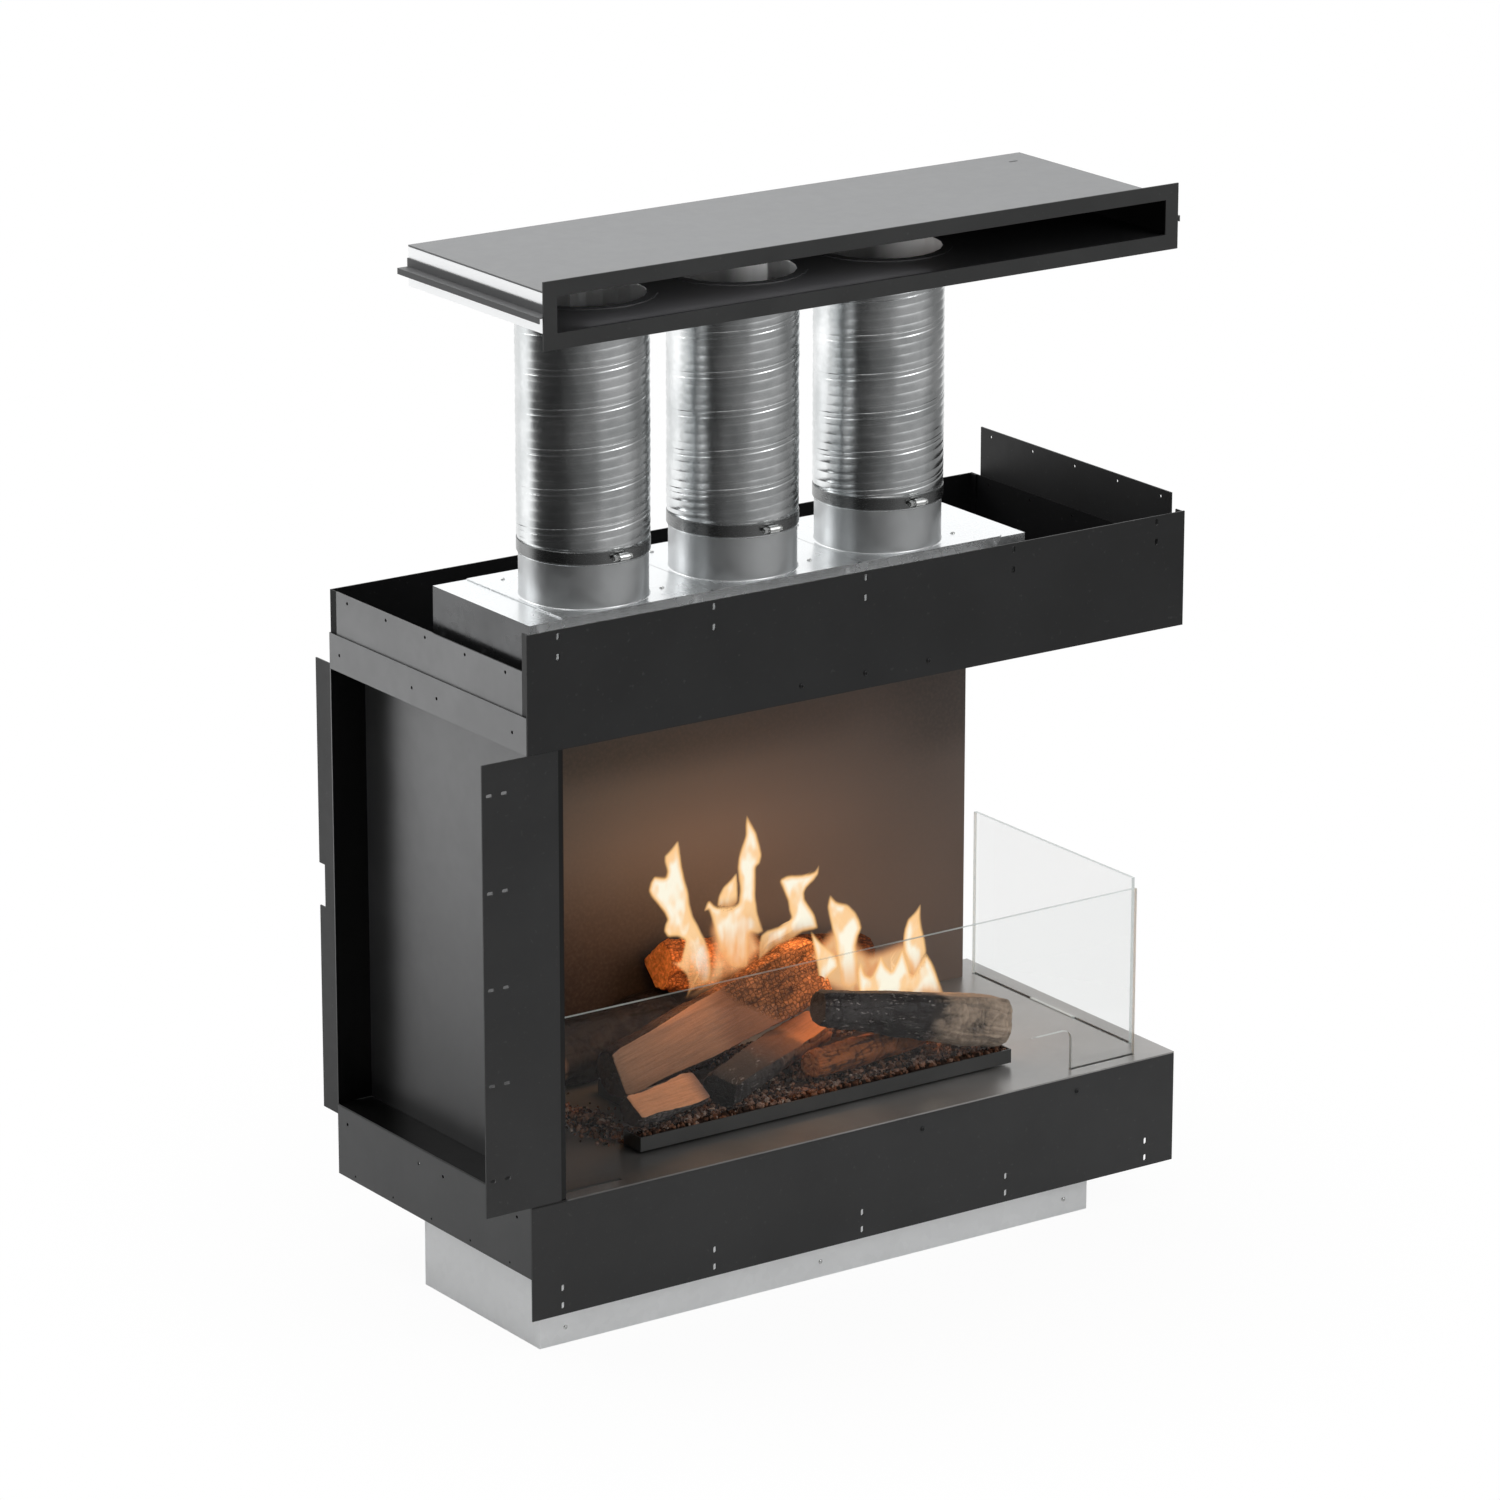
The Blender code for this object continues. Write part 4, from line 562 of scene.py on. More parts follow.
def duct_form(x, seed):
    """A hose wound from a ribbed strip. Its radius at a height z and turn t follows s = z - pitch * t,
    the place across the strip: a flat lock seam with a groove at each side of it, then round ribs
    with narrow valleys. The waves fade out at the two cuffs, and the foil has shallow dents."""
    sides, rows = 132, 400
    turn = turns(sides)
    level = np.linspace(DUCT_LOW, DUCT_HIGH, rows)[:, None]
    across = (level - STRIP_WIDTH * (turn + seed) / TURN) % STRIP_WIDTH
    wave = np.abs(np.sin(math.pi * across * RIBS_IN_STRIP / STRIP_WIDTH)) ** 0.8
    from_lock = np.minimum(across, STRIP_WIDTH - across)
    seam = np.clip(1 - (from_lock / (LOCK_WIDTH / 2)) ** 6, 0, 1)
    groove = np.exp(-((from_lock - LOCK_WIDTH / 2 - 0.4) / 0.5) ** 2)
    height = (DUCT_CREST - DUCT_VALLEY) * ((1 - seam) * (0.30 + 0.58 * wave) + seam * 0.62) - 0.75 * groove
    end = np.minimum(level - DUCT_LOW, DUCT_HIGH - level)
    free = np.clip((end - CUFF) / 5.0, 0, 1)
    height = height * (free * free * (3 - 2 * free))
    points = upright(DUCT_VALLEY, turn, level).reshape(-1, 3)
    dents = (layered_noise(points * (1, 1, 0.7), 26, 3, seed) - 0.5) * 1.3
    radius = DUCT_VALLEY + height.ravel() + dents * np.repeat(free.ravel(), sides)
    radius = np.maximum(radius, DUCT_BORE + 0.25).reshape(rows, sides)
    inner = upright(DUCT_BORE, turn, np.linspace(DUCT_HIGH, DUCT_LOW, 12)[:, None])
    points = np.vstack([upright(radius, turn, level), inner]) + (x, DUCT_Y, 0)
    return Form(points, [grid_faces(rows + 12, sides, True, True)]).outwards()


SPIGOT_RADIUS, SPIGOT_WALL = 79.8, 1.2
PLATE_LOW, PLATE_TOP, SPIGOT_TOP = 885.8, 887.0, 975.8
PLATE_LEFT, PLATE_PITCH, PLATE_GAP = 84.5, 220.5, 0.6
PLATE_FRONT, PLATE_BACK = 20.0, 235.4


def spigot_form(x):
    """A collar turned out of a square plate: the tube's wall runs down, flares over a small radius and
    goes out to the plate's edge. Each ring is a circle blended towards the plate's outline."""
    sides = 144
    turn = turns(sides)
    along, back = np.cos(turn), np.sin(turn)
    reach_x = np.where(along > 0, PLATE_PITCH - PLATE_LEFT - PLATE_GAP, PLATE_LEFT)
    reach_y = np.where(back > 0, PLATE_BACK - DUCT_Y, DUCT_Y - PLATE_FRONT)
    with np.errstate(divide="ignore"):
        edge = np.minimum(reach_x / np.abs(along), reach_y / np.abs(back))
    flare = 2.4
    bend = np.linspace(0, math.pi / 2, 6)
    outside = [(SPIGOT_RADIUS, SPIGOT_TOP), (SPIGOT_RADIUS, PLATE_TOP + flare)]
    outside += [(SPIGOT_RADIUS + flare * (1 - math.cos(b)), PLATE_TOP + flare * (1 - math.sin(b)))
                for b in bend]
    inner = SPIGOT_RADIUS - SPIGOT_WALL
    levels = outside + [(edge, PLATE_TOP), (edge, PLATE_LOW), (inner, PLATE_LOW), (inner, SPIGOT_TOP)]
    points = np.stack([upright(reach, turn, level) for reach, level in levels]) + (x, DUCT_Y, 0)
    return Form(points, [grid_faces(len(levels), sides, True, True)]).outwards()


BAND_INNER, BAND_OUTER, BAND_HEIGHT = 81.1, 82.1, 15.0
CLAMP_FEET = {"lower": 944.0, "upper": 1239.0}
WORM_Y = 15.4
WORM_RADIUS = 3.2
COVER_OUTER, COVER_INNER = 5.1, 4.3
COVER_RIMS = (-6.9, -6.5, 6.5, 6.9)


def band_form(x, foot):
    """A clamp's band: a thin strip with rolled edges carried round the duct, with a second layer of
    the strip where its free end comes out of the housing."""
    wall, roll = BAND_OUTER - BAND_INNER, 0.35
    profile = [(BAND_INNER, foot + 0.2), (BAND_INNER + 0.3, foot), (BAND_OUTER - roll, foot),
               (BAND_OUTER, foot + roll), (BAND_OUTER, foot + BAND_HEIGHT - roll),
               (BAND_OUTER - roll, foot + BAND_HEIGHT), (BAND_INNER + 0.3, foot + BAND_HEIGHT),
               (BAND_INNER, foot + BAND_HEIGHT - 0.2)]
    band = revolved(profile, (x, DUCT_Y, 0), 96)
    turn = np.linspace(math.radians(274), math.radians(303), 24)[:, None]
    near, far = BAND_OUTER - 0.1, BAND_OUTER + wall * 0.7
    low, high = foot + 1.2, foot + BAND_HEIGHT - 1.2
    tail = upright(np.array((near, far, far, near)), turn, np.array((low, low, high, high)))
    return band + capped(tail + (x, DUCT_Y, 0))


def housing_form(x, foot):
    """The worm's housing: a half round cover bent over the screw, on a foot as wide as the band."""
    steps = np.linspace(math.radians(-28), math.radians(208), 22)
    middle = foot + BAND_HEIGHT / 2
    count = len(steps)
    steps = np.concatenate([steps, steps[::-1]])
    radius = np.repeat((COVER_OUTER, COVER_INNER), count)
    rings = spread(x + np.array(COVER_RIMS)[:, None], WORM_Y - radius * np.sin(steps),
                   middle + radius * np.cos(steps))
    step = np.arange(count - 1)
    fan = spread(step, step + 1, 2 * count - 2 - step, 2 * count - 1 - step)
    return Form(rings, [grid_faces(4, 2 * count, False, True), fan[:, ::-1], fan + 6 * count]).outwards()


def worm_form(x, foot):
    """A worm screw: the thread's radius follows the place along it less its turn, and a slotted
    hexagon head stands at the left end."""
    middle = foot + BAND_HEIGHT / 2
    sides, rows = 28, 150
    turn = turns(sides)
    along = np.linspace(-9.3, 12.9, rows)[:, None]
    thread = 0.5 + 0.5 * np.cos(TURN * (along / 1.6 - turn / TURN))
    radius = WORM_RADIUS - 0.55 + 0.5 * thread
    radius = np.where(along > 12.2, radius * (1 - (along - 12.2) * 0.5), radius)
    screw = capped(spread(x + along, WORM_Y + radius * np.cos(turn), middle + radius * np.sin(turn)))
    six = turns(24)
    hexagon = 4.2 * math.cos(math.pi / 6) / np.cos((six + math.pi / 6) % (math.pi / 3) - math.pi / 6)
    place = np.array((-9.2, -9.6, -9.9, -10.0, -13.4, -14.2, -14.2, -13.2))[:, None]
    size = np.array((1.08, 1.12, 1.12, 0.96, 0.96, 0.84, 0.55, 0.52))[:, None] * hexagon
    return screw + capped(spread(x + place, WORM_Y + size * np.cos(six), middle + size * np.sin(six)))


def make_air_path(foil_finish, collar_finish, band_finish, bright_finish):
    for i, x in enumerate(DUCT_X, 1):
        duct_form(x, i * 1.9).piece(f"ribbed_hose_{i}", foil_finish, "aluminium_foil", f"duct_{i}")
    for i, x in enumerate(DUCT_X, 1):
        spigot_form(x).piece(f"collar_{i}", collar_finish, "galvanised_steel", f"spigot_{i}", sharp=35)
    for level, foot in CLAMP_FEET.items():
        for i, x in enumerate(DUCT_X, 1):
            band_form(x, foot).piece(f"{level}_hose_band_{i}", band_finish, "clamp_steel",
                                     f"{level}_clamp_band_{i}", sharp=40)
            housing_form(x, foot).piece(f"{level}_worm_cover_{i}", bright_finish, "clamp_steel", sharp=40)
            worm_form(x, foot).piece(f"{level}_worm_{i}", bright_finish, "clamp_steel",
                                     f"{level}_clamp_screw_{i}", f"{level}_screw_{i}", sharp=40)


# Screws

def screw_form(place, facing, radius):
    """A pan head: a low dome with a cross recess. The dome's height falls with the cube of the
    distance from its middle, and the recess is where the distance to either arm of a cross is small."""
    sides, rings = 32, 12
    turn = turns(sides)
    out = np.linspace(0.06, 1.0, rings)[:, None]
    flat_x, flat_y = out * np.cos(turn), out * np.sin(turn)
    height = 0.62 * (1 - 0.75 * out ** 3)
    arm = np.minimum(np.abs(flat_x), np.abs(flat_y))
    recess = np.clip(1 - arm / 0.13, 0, 1) * np.clip(1 - (out / 0.62) ** 4, 0, 1)
    height = height - 0.42 * recess
    dome = spread(flat_x, flat_y, height)
    rim = dome[-1] * (1, 1, 0)
    form = capped(np.concatenate([dome, rim[None]]) * radius)
    if facing == "front":
        form.points = np.roll(form.points, 2, axis=1) * (1, -1, 1)
    form.points = form.points + place
    return form.outwards()


# Screws on the casing's front and on the burner housing's as (x, z), on a collar's plate as (x, y)
# from the hose's middle and from the casing's front.
CASING_SCREWS = [(403, 750), (500, 750), (597, 750), (594, 128), (841, 128)]
HOUSING_SCREWS = [(61, -27), (449, -27), (837, -27)]
PLATE_SCREWS = [(-50.0, 207.5), (89.0, 64.5)]


def make_screws(dark, bright):
    on_casing = [(x, -0.05, z) for x, z in CASING_SCREWS]
    on_housing = [(x, 19.95, z) for x, z in HOUSING_SCREWS]
    on_plates = [(x + dx, y, PLATE_TOP + 0.05) for x in DUCT_X for dx, y in PLATE_SCREWS]
    for name, places, facing, radius, finish, slot in (
            ("casing_screws", on_casing, "front", 3.4, dark, "painted_steel"),
            ("housing_screws", on_housing, "front", 3.0, bright, "stainless_steel"),
            ("spigot_screws", on_plates, "up", 3.0, bright, "stainless_steel")):
        heads = [screw_form(place, facing, radius) for place in places]
        sum(heads[1:], heads[0]).piece(name, finish, slot, sharp=40)


# Logs

LOG_RADIUS = 48.0
HEARTH_TOP = 150.0
KERB_LEFT, KERB_LENGTH = 213.0, 579.0
BACK_Y, OPENING = 396.0, 580.0
# A log's two ends as shares along the kerb, back to the wall and up the opening, the girth of each
# end as a share of LOG_RADIUS, the share of its height, and its split faces as (turn, depth).
LOGS = {
    "log_1": ((0.01, 0.862, 0.070), (0.39, 0.868, 0.101), (0.88, 0.88), 1.00, ()),
    "log_2": ((0.24, 0.262, 0.085), (0.65, 0.565, 0.090), (0.58, 0.54), 0.95, ((0.30, 0.58),)),
    "log_3": ((-0.01, 0.228, 0.090), (0.205, 0.312, 0.080), (0.46, 0.50), 0.95, ((0.36, 0.45),)),
    "log_4": ((0.50, 0.300, 0.070), (0.82, 0.360, 0.070), (0.44, 0.42), 0.90, ()),
    "log_5": ((0.35, 0.850, 0.240), (0.92, 0.872, 0.147), (0.72, 0.70), 1.00,
              ((0.12, 0.72), (0.86, 0.75))),
    "log_6": ((0.045, 0.450, 0.155), (0.65, 0.580, 0.262), (0.74, 0.94), 1.00, ((0.45, 0.42),)),
    "log_7": ((0.540, 0.341, 0.190), (0.985, 0.225, 0.095), (0.56, 0.80), 0.98, ((0.22, 0.80),)),
}
# Where the split face of a log gives way to bark: the place along it, at its top and at its foot.
BARK_FROM = {"log_6": (0.57, 0.82)}
# Tones of a log: stops along its bark, stops along its split face, its two ends, and the share of
# pale ash marks and of tile-like checks in the bark.
LOG_TONES = {
    "log_1": ([(0.0, (0.24, 0.14, 0.09)), (0.11, (0.20, 0.11, 0.07)), (0.15, (0.026, 0.019, 0.015)),
               (1.0, (0.020, 0.014, 0.011))], [(0.0, (0.24, 0.14, 0.09))],
              ((0.24, 0.14, 0.09), (0.02, 0.015, 0.012)), 0.08, 0.0),
    "log_2": ([(0.0, (0.030, 0.027, 0.026)), (0.4, (0.045, 0.034, 0.030)), (0.7, (0.20, 0.085, 0.04)),
               (1.0, (0.26, 0.105, 0.045))],
              # log_2: the brown band from 0.52 to 0.64 on its split face, between the charred front and the
              # orange back, is held dark as painted shade.
              [(0.0, (0.022, 0.019, 0.018)), (0.32, (0.045, 0.034, 0.030)), (0.52, (0.13, 0.060, 0.036)),
               (0.64, (0.20, 0.09, 0.05)), (0.70, (0.50, 0.215, 0.10)), (1.0, (0.52, 0.215, 0.095))],
              ((0.014, 0.012, 0.011), (0.3, 0.14, 0.07)), 0.5, 0.0),
    "log_3": ([(0.0, (0.07, 0.05, 0.04)), (0.4, (0.10, 0.09, 0.085)), (1.0, (0.06, 0.05, 0.05))],
              [(0.0, (0.48, 0.225, 0.115)), (0.8, (0.50, 0.245, 0.13)), (1.0, (0.16, 0.10, 0.08))],
              ((0.045, 0.026, 0.018), (0.05, 0.04, 0.04)), 0.9, 0.0),
    "log_4": ([(0.0, (0.32, 0.10, 0.030)), (1.0, (0.24, 0.080, 0.028))], [(0.0, (0.36, 0.15, 0.06))],
              ((0.3, 0.14, 0.07), (0.2, 0.1, 0.05)), 0.0, 0.3),
    "log_5": ([(0.0, (0.64, 0.205, 0.058)), (0.24, (0.60, 0.19, 0.052)), (0.34, (0.30, 0.095, 0.028)),
               (1.0, (0.20, 0.060, 0.020))], [(0.0, (0.62, 0.20, 0.058)), (0.3, (0.3, 0.1, 0.03))],
              ((0.88, 0.34, 0.11), (0.20, 0.09, 0.04)), 0.0, 0.8),
    "log_6": ([(0.0, (0.028, 0.014, 0.009)), (0.44, (0.045, 0.022, 0.013)), (0.58, (0.26, 0.105, 0.043)),
               (1.0, (0.44, 0.170, 0.058))],
              # log_6: the darker stop at 0.56 on its split face, where it meets the bark, is painted shadow.
              [(0.0, (0.34, 0.18, 0.105)), (0.44, (0.34, 0.17, 0.095)), (0.56, (0.24, 0.105, 0.055)),
               (0.70, (0.30, 0.13, 0.065)), (1.0, (0.20, 0.10, 0.06))],
              ((0.088, 0.050, 0.033), (0.30, 0.13, 0.06)), 0.0, 1.0),
    "log_7": ([(0.0, (0.050, 0.043, 0.042)), (0.56, (0.034, 0.029, 0.029)), (0.66, (0.36, 0.27, 0.20)),
               (1.0, (0.42, 0.32, 0.24))],
              [(0.0, (0.046, 0.040, 0.039)), (0.60, (0.034, 0.029, 0.029)), (0.68, (0.34, 0.26, 0.19)),
               (1.0, (0.40, 0.31, 0.23))],
              ((0.030, 0.026, 0.025), (0.42, 0.33, 0.26)), 0.8, 0.0),
}
LOG_RINGS = (0.0, 0.03, 0.20, 0.40, 0.60, 0.80, 0.97, 1.0)
LOG_GIRTHS = (0.93, 1.00, 0.97, 1.02, 0.98, 1.03, 0.99, 0.92)


def log_end(shares):
    return shares * np.array((KERB_LENGTH, BACK_Y, OPENING)) + (KERB_LEFT, 0.0, HEARTH_TOP)


def log_form(name, seed):
    """A log as a grid of place along it and turn round it. The section is a circle cut flat where the
    wood was split. Bark sinks in cracks along and across the log, split faces have fibres along it,
    and the end faces have rings and radial checks. Values on the points: split, end, hollow, along, and
    the place in the log's own grain."""
    start, end, girth_shares, height_share, cuts = LOGS[name]
    start, end = log_end(start), log_end(end)
    span = end - start
    length = np.linalg.norm(span)
    ahead = span / length
    across = np.cross((0, 0, 1), ahead)
    across /= np.linalg.norm(across)
    above = np.cross(ahead, across)
    sides, rows, rims = 168, 150, 22
    turn = turns(sides)
    along = np.concatenate([np.zeros(rims), np.linspace(0, 1, rows), np.ones(rims)])
    inset = np.concatenate([np.linspace(0.04, 0.985, rims), np.ones(rows), np.linspace(0.985, 0.04, rims)])
    along_it = along[:, None]
    girth = np.interp(along, LOG_RINGS, LOG_GIRTHS) * (1 - 0.06 * (np.abs(along - 0.5) * 2) ** 24)
    unit = spread(np.cos(turn), np.sin(turn))
    uneven = 1 + 0.05 * np.sin(along_it * 6.3 + turn * 3 + seed) + 0.03 * np.sin(turn * 5 - along_it * 4)
    flat = unit[None] * uneven[..., None]
    split = np.zeros(flat.shape[:2])
    for place, depth in cuts:
        out = np.array((math.cos(TURN * place), math.sin(TURN * place)))
        beyond = flat @ out - depth
        flat = flat - np.clip(beyond, 0, None)[..., None] * out
        split = np.maximum(split, np.clip(beyond / 0.05, 0, 1))
    radius = LOG_RADIUS * np.interp(along, (0, 1), girth_shares)
    if name in BARK_FROM:
        top_place, foot_place = BARK_FROM[name]
        ends_at = foot_place + (top_place - foot_place) * (0.5 + 0.5 * unit[None, :, 1])
        split = split * np.clip((ends_at - along_it) / 0.07, 0, 1)
    flat = flat * (radius * girth * inset)[:, None, None]
    body = (start[None, None] + span * along[:, None, None] + flat[..., :1] * across
            + flat[..., 1:] * height_share * above)
    grain = spread(along_it * length, flat[..., 0], flat[..., 1]).reshape(-1, 3)
    end_face = np.repeat((inset < 0.999).astype(float), sides)
    split = split.ravel()
    long_crack = layered_noise(grain * (0.22, 1, 1), 11, 3, seed)
    cross_crack = layered_noise(grain * (1, 0.35, 0.35), 9, 2, seed + 5)
    crack = (np.clip(1 - np.abs(long_crack - 0.5) * 11, 0, 1)
             + 0.75 * np.clip(1 - np.abs(cross_crack - 0.5) * 9, 0, 1))
    lump = layered_noise(grain, 22, 3, seed + 9) - 0.5
    bark = np.clip(crack, 0, 1) * 2.1 - lump * 3.0
    fibre = layered_noise(grain * (0.045, 1, 1), 5.5, 3, seed + 3)
    chip = layered_noise(grain * (0.35, 1, 1), 30, 2, seed + 4) - 0.5
    splinter = (fibre - 0.5) * 1.9 - chip * 2.2
    hollow = bark * (1 - split) + splinter * split
    far = np.linalg.norm(flat, axis=-1).ravel()
    ring = np.sin(far * 1.9 + lump * 5) * 0.35
    check = np.clip(1 - np.abs(layered_noise(grain * (0, 1, 1), 13, 3, seed + 2) - 0.5) * 16, 0, 1)
    fade = np.repeat(np.clip((inset - 0.8) / 0.19, 0, 1), sides)
    along = np.repeat(along, sides)
    outwards = body.reshape(-1, 3) - (start + span * along[:, None])
    outwards /= np.maximum(np.linalg.norm(outwards, axis=1, keepdims=True), 1e-6)
    points = body.reshape(-1, 3) - outwards * np.where(end_face > 0, hollow * fade, hollow)[:, None]
    face_side = np.where(along < 0.5, 1.0, -1.0)
    end_sink = check * 1.6 + ring * 0.4 + (layered_noise(grain, 8, 2, seed + 6) - 0.5) * 1.4
    points += ahead * (end_face * end_sink * face_side * (1 - 0.7 * fade))[:, None]
    depth = np.where(end_face > 0, check + (ring < -0.2) * 0.3, np.clip(hollow / 2.4, 0, 1))
    return capped(points.reshape(len(inset), sides, 3), split=split, end_face=end_face, hollow=depth,
                  along=along, grain=grain * MM)


def log_finish(name):
    """Painted ceramic wood. Its patterns run with the log's own grain: tones along the log for bark and split
    faces, some of whose stops hold painted shade, fibres in the split wood, tile-like checks with painted
    firelight on their edges, and pale ash in the bark."""
    bark, split, ends, ash_share, check_share = LOG_TONES[name]
    f = Finish(name + "_finish")
    f.place = f.attribute("grain", out=1)
    fine = f.noise(190, 6)
    broad = f.noise(34, 4)
    fibre = f.noise(520, 4, stretch=(0.05, 1, 1))
    ends_here = f.attribute("end_face")
    along = f.attribute("along")
    place = along + (broad - 0.5) * 0.10
    shade = broad.smooth(0.3, 0.7) * 0.6 + fine.smooth(0.3, 0.7) * 0.4
    bark_tone = f.times(f.stops(bark, place), f.mix(shade, 0.45, 1.25))
    shade = fibre.smooth(0.25, 0.75) * 0.6 + fine * 0.4
    split_tone = f.times(f.stops(split, place), f.mix(shade, 0.70, 1.18))
    split_here = f.attribute("split").smooth(0.2, 0.8)
    base = f.mix(split_here, bark_tone, split_tone)
    cut = f.mix(along.smooth(0.4, 0.6), *ends)
    base = f.mix(ends_here, base, f.times(cut, f.mix(fine.smooth(0.3, 0.7), 0.7, 1.2)))
    hollow = f.attribute("hollow")
    barky = (1 - split_here) * (1 - ends_here)
    wood = 1 - barky * 0.9
    pale = f.split(base)[1].smooth(0.12, 0.22)
    sunk = hollow.smooth(0.25, 0.95) * (0.92 - wood * 0.45) * (1 - pale * 0.6) * (1 - check_share * 0.45)
    base = f.mix(sunk, base, (0.009, 0.005, 0.004))
    height = fine
    if check_share:
        tiles = f.add("TexVoronoi", {"feature": "DISTANCE_TO_EDGE"},
                      {"Vector": f.at((150, 205, 205)), "Scale": 1.0, "Randomness": 0.6})
        gap = (1 - tiles.smooth(0.02, 0.16)) * barky * check_share
        base = f.mix(gap * 0.62, base, (0.030, 0.014, 0.008))
        # Painted firelight: the checks' raised edges are lifted towards cream, as the flames light them.
        lit = tiles.smooth(0.22, 0.42) * fine.smooth(0.45, 0.65) * barky * check_share
        base = f.mix(lit * 0.55, base, f.times(base, 2.4))
        height = fine * 0.4 - gap * 1.6
    if ash_share:
        marks = f.noise(330, 3, stretch=(0.45, 1, 1)).smooth(0.585, 0.65)
        rows = f.noise(120, 3, stretch=(0.18, 1, 1)).smooth(0.44, 0.60)
        dark_wood = 1 - f.split(base)[0].smooth(0.06, 0.16)
        base = f.mix(marks * rows * dark_wood * ash_share * (1 - ends_here), base, (0.30, 0.27, 0.25))
    return f.surface(base, 0.82 + fine * 0.14, (height, 0.0009, 0.6), Specular_IOR_Level=0.3)


def make_logs():
    """Each log stands as low as its CAD node."""
    for i, name in enumerate(LOGS, 1):
        form = log_form(name, i * 4.0)
        form.points[:, 2] += (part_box(name)[0].z - CASING_ORIGIN[2]) / MM - form.points[:, 2].min()
        slot = {"log_6": "log_split", "log_7": "log_char"}.get(name, "log_bark")
        form.piece("ceramic_" + name, log_finish(name), slot, name)


# Embers

def chips_form(count, places, sizes, seed):
    """Small broken stones: each is a twenty-faced ball with its corners pushed in or out at random,
    squashed, turned at random and set at its place. One tone and one heat value a stone."""
    golden = (1 + math.sqrt(5)) / 2
    corners = np.array([(a, b * golden, 0) for a in (-1, 1) for b in (-1, 1)], float)
    corners = np.vstack([corners, np.roll(corners, 1, axis=1), np.roll(corners, 2, axis=1)])
    corners /= np.linalg.norm(corners[0])
    near = np.linalg.norm(corners[:, None] - corners[None], axis=-1)
    edge = near[near > 0].min() * 1.01
    faces = [(a, b, c) for a in range(12) for b in range(a + 1, 12) for c in range(b + 1, 12)
             if max(near[a, b], near[b, c], near[a, c]) < edge]
    faces = np.array([(a, b, c) if np.dot(corners[a], np.cross(corners[b], corners[c])) > 0 else (a, c, b)
                      for a, b, c in faces])
    draw = np.random.default_rng(seed)
    shape = corners[None] * draw.uniform(0.62, 1.15, (count, 12, 1)) * draw.uniform(0.55, 1.1, (count, 1, 3))
    axes = draw.normal(size=(count, 3, 3))
    axes, _ = np.linalg.qr(axes)
    axes *= np.sign(np.linalg.det(axes))[:, None, None]
    points = np.einsum("nij,nkj->nki", axes, shape) * sizes[:, None, None] + places[:, None]
    faces = (faces[None] + (np.arange(count) * 12)[:, None, None]).reshape(-1, 3)
    tone = np.repeat(draw.random(count), 12)
    heat = np.repeat(draw.random(count), 12)
    return Form(points, [faces], tone=tone, heat=heat)


BED_TOP, BED_FOOT, BED_STEP = 173.2, 164.0, 3.2
KERB_AREA = (214.6, 790.4, 78.6, 116.0)
BODY_AREA = (291.6, 738.4, 114.0, 288.4)


def ember_height(x, y):
    """The bed's level: low heaps from two sizes of noise."""
    return BED_TOP + (layered_noise(spread(x, y, 0.0), 38, 2, 3) - 0.5) * 7.0


def bed_form():
    """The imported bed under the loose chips: a T-shaped field of heights over a flat foot."""
    made = None
    for left, right, front, back in (KERB_AREA, BODY_AREA):
        columns, rows = int((right - left) / BED_STEP), int((back - front) / BED_STEP)
        x, y = np.meshgrid(np.linspace(left, right, columns), np.linspace(front, back, rows))
        z = ember_height(x.ravel(), y.ravel()).reshape(x.shape) - 1.6
        z += (layered_noise(spread(x, y, 0.0).reshape(-1, 3), 7, 2, 8).reshape(x.shape) - 0.5) * 3
        index = np.arange(rows * columns).reshape(rows, columns)
        here = np.concatenate([index[0, :-1], index[:-1, -1], index[-1, :0:-1], index[:0:-1, 0]])
        there = np.roll(here, -1)
        under = rows * columns
        faces = [grid_faces(rows, columns), grid_faces(rows, columns)[:, ::-1] + under,
                 spread(here, here + under, there + under, there)]
        part = Form(np.vstack([spread(x, y, z), spread(x, y, BED_FOOT)]), faces,
                    tone=np.full(under * 2, 0.2), heat=np.full(under * 2, 0.5))
        made = part.outwards() if made is None else made + part.outwards()
    return made


def in_area(spots, area):
    """Which spots lie inside an area of (left, right, front, back)."""
    return ((spots > area[0::2]) & (spots < area[1::2])).all(1)


def scattered(area, count, draw):
    """Random spots in an area."""
    return spread(draw.uniform(*area[:2], count), draw.uniform(*area[2:], count))


def ember_finish(name):
    """Burnt chips: black, brown and ash-grey stones with a few that glow."""
    f = Finish(name)
    tone = f.attribute("tone")
    fine = f.noise(420, 3)
    base = f.stops([(0.0, (0.012, 0.008, 0.006)), (0.25, (0.040, 0.019, 0.012)), (0.50, (0.14, 0.058, 0.030)),
                    (0.75, (0.26, 0.125, 0.075)), (0.90, (0.30, 0.18, 0.13)),
                    (1.0, (0.42, 0.33, 0.27))], tone)
    base = f.mix(fine.smooth(0.4, 0.7) * 0.6, base, (0.02, 0.014, 0.011))
    x, y, _ = f.split(f.place)
    hot = f.attribute("heat").smooth(0.90, 0.99) * (1 - (x * x).smooth(0.02, 0.06))
    hot = hot * (y + 0.02).smooth(-0.10, 0.0)
    glow = f.mix(fine, (1.0, 0.16, 0.02), (1.0, 0.42, 0.08))
    return f.surface(base, 0.88 + fine * 0.1, (fine, 0.0006, 0.6), Specular_IOR_Level=0.25,
                     Emission_Color=f.mix(hot, 0.0, glow), Emission_Strength=0.5)


SLOT_CLEAR = (312.0, 718.0, 187.0, 243.0)
CHIPS_IN_KERB, CHIPS_IN_BODY, CHIPS_IN_HEAP = 1250, 2200, 420
HEAP_X, HEAP_Y, HEAP_AREA = 222, 205, (176, 284, 122, 330)


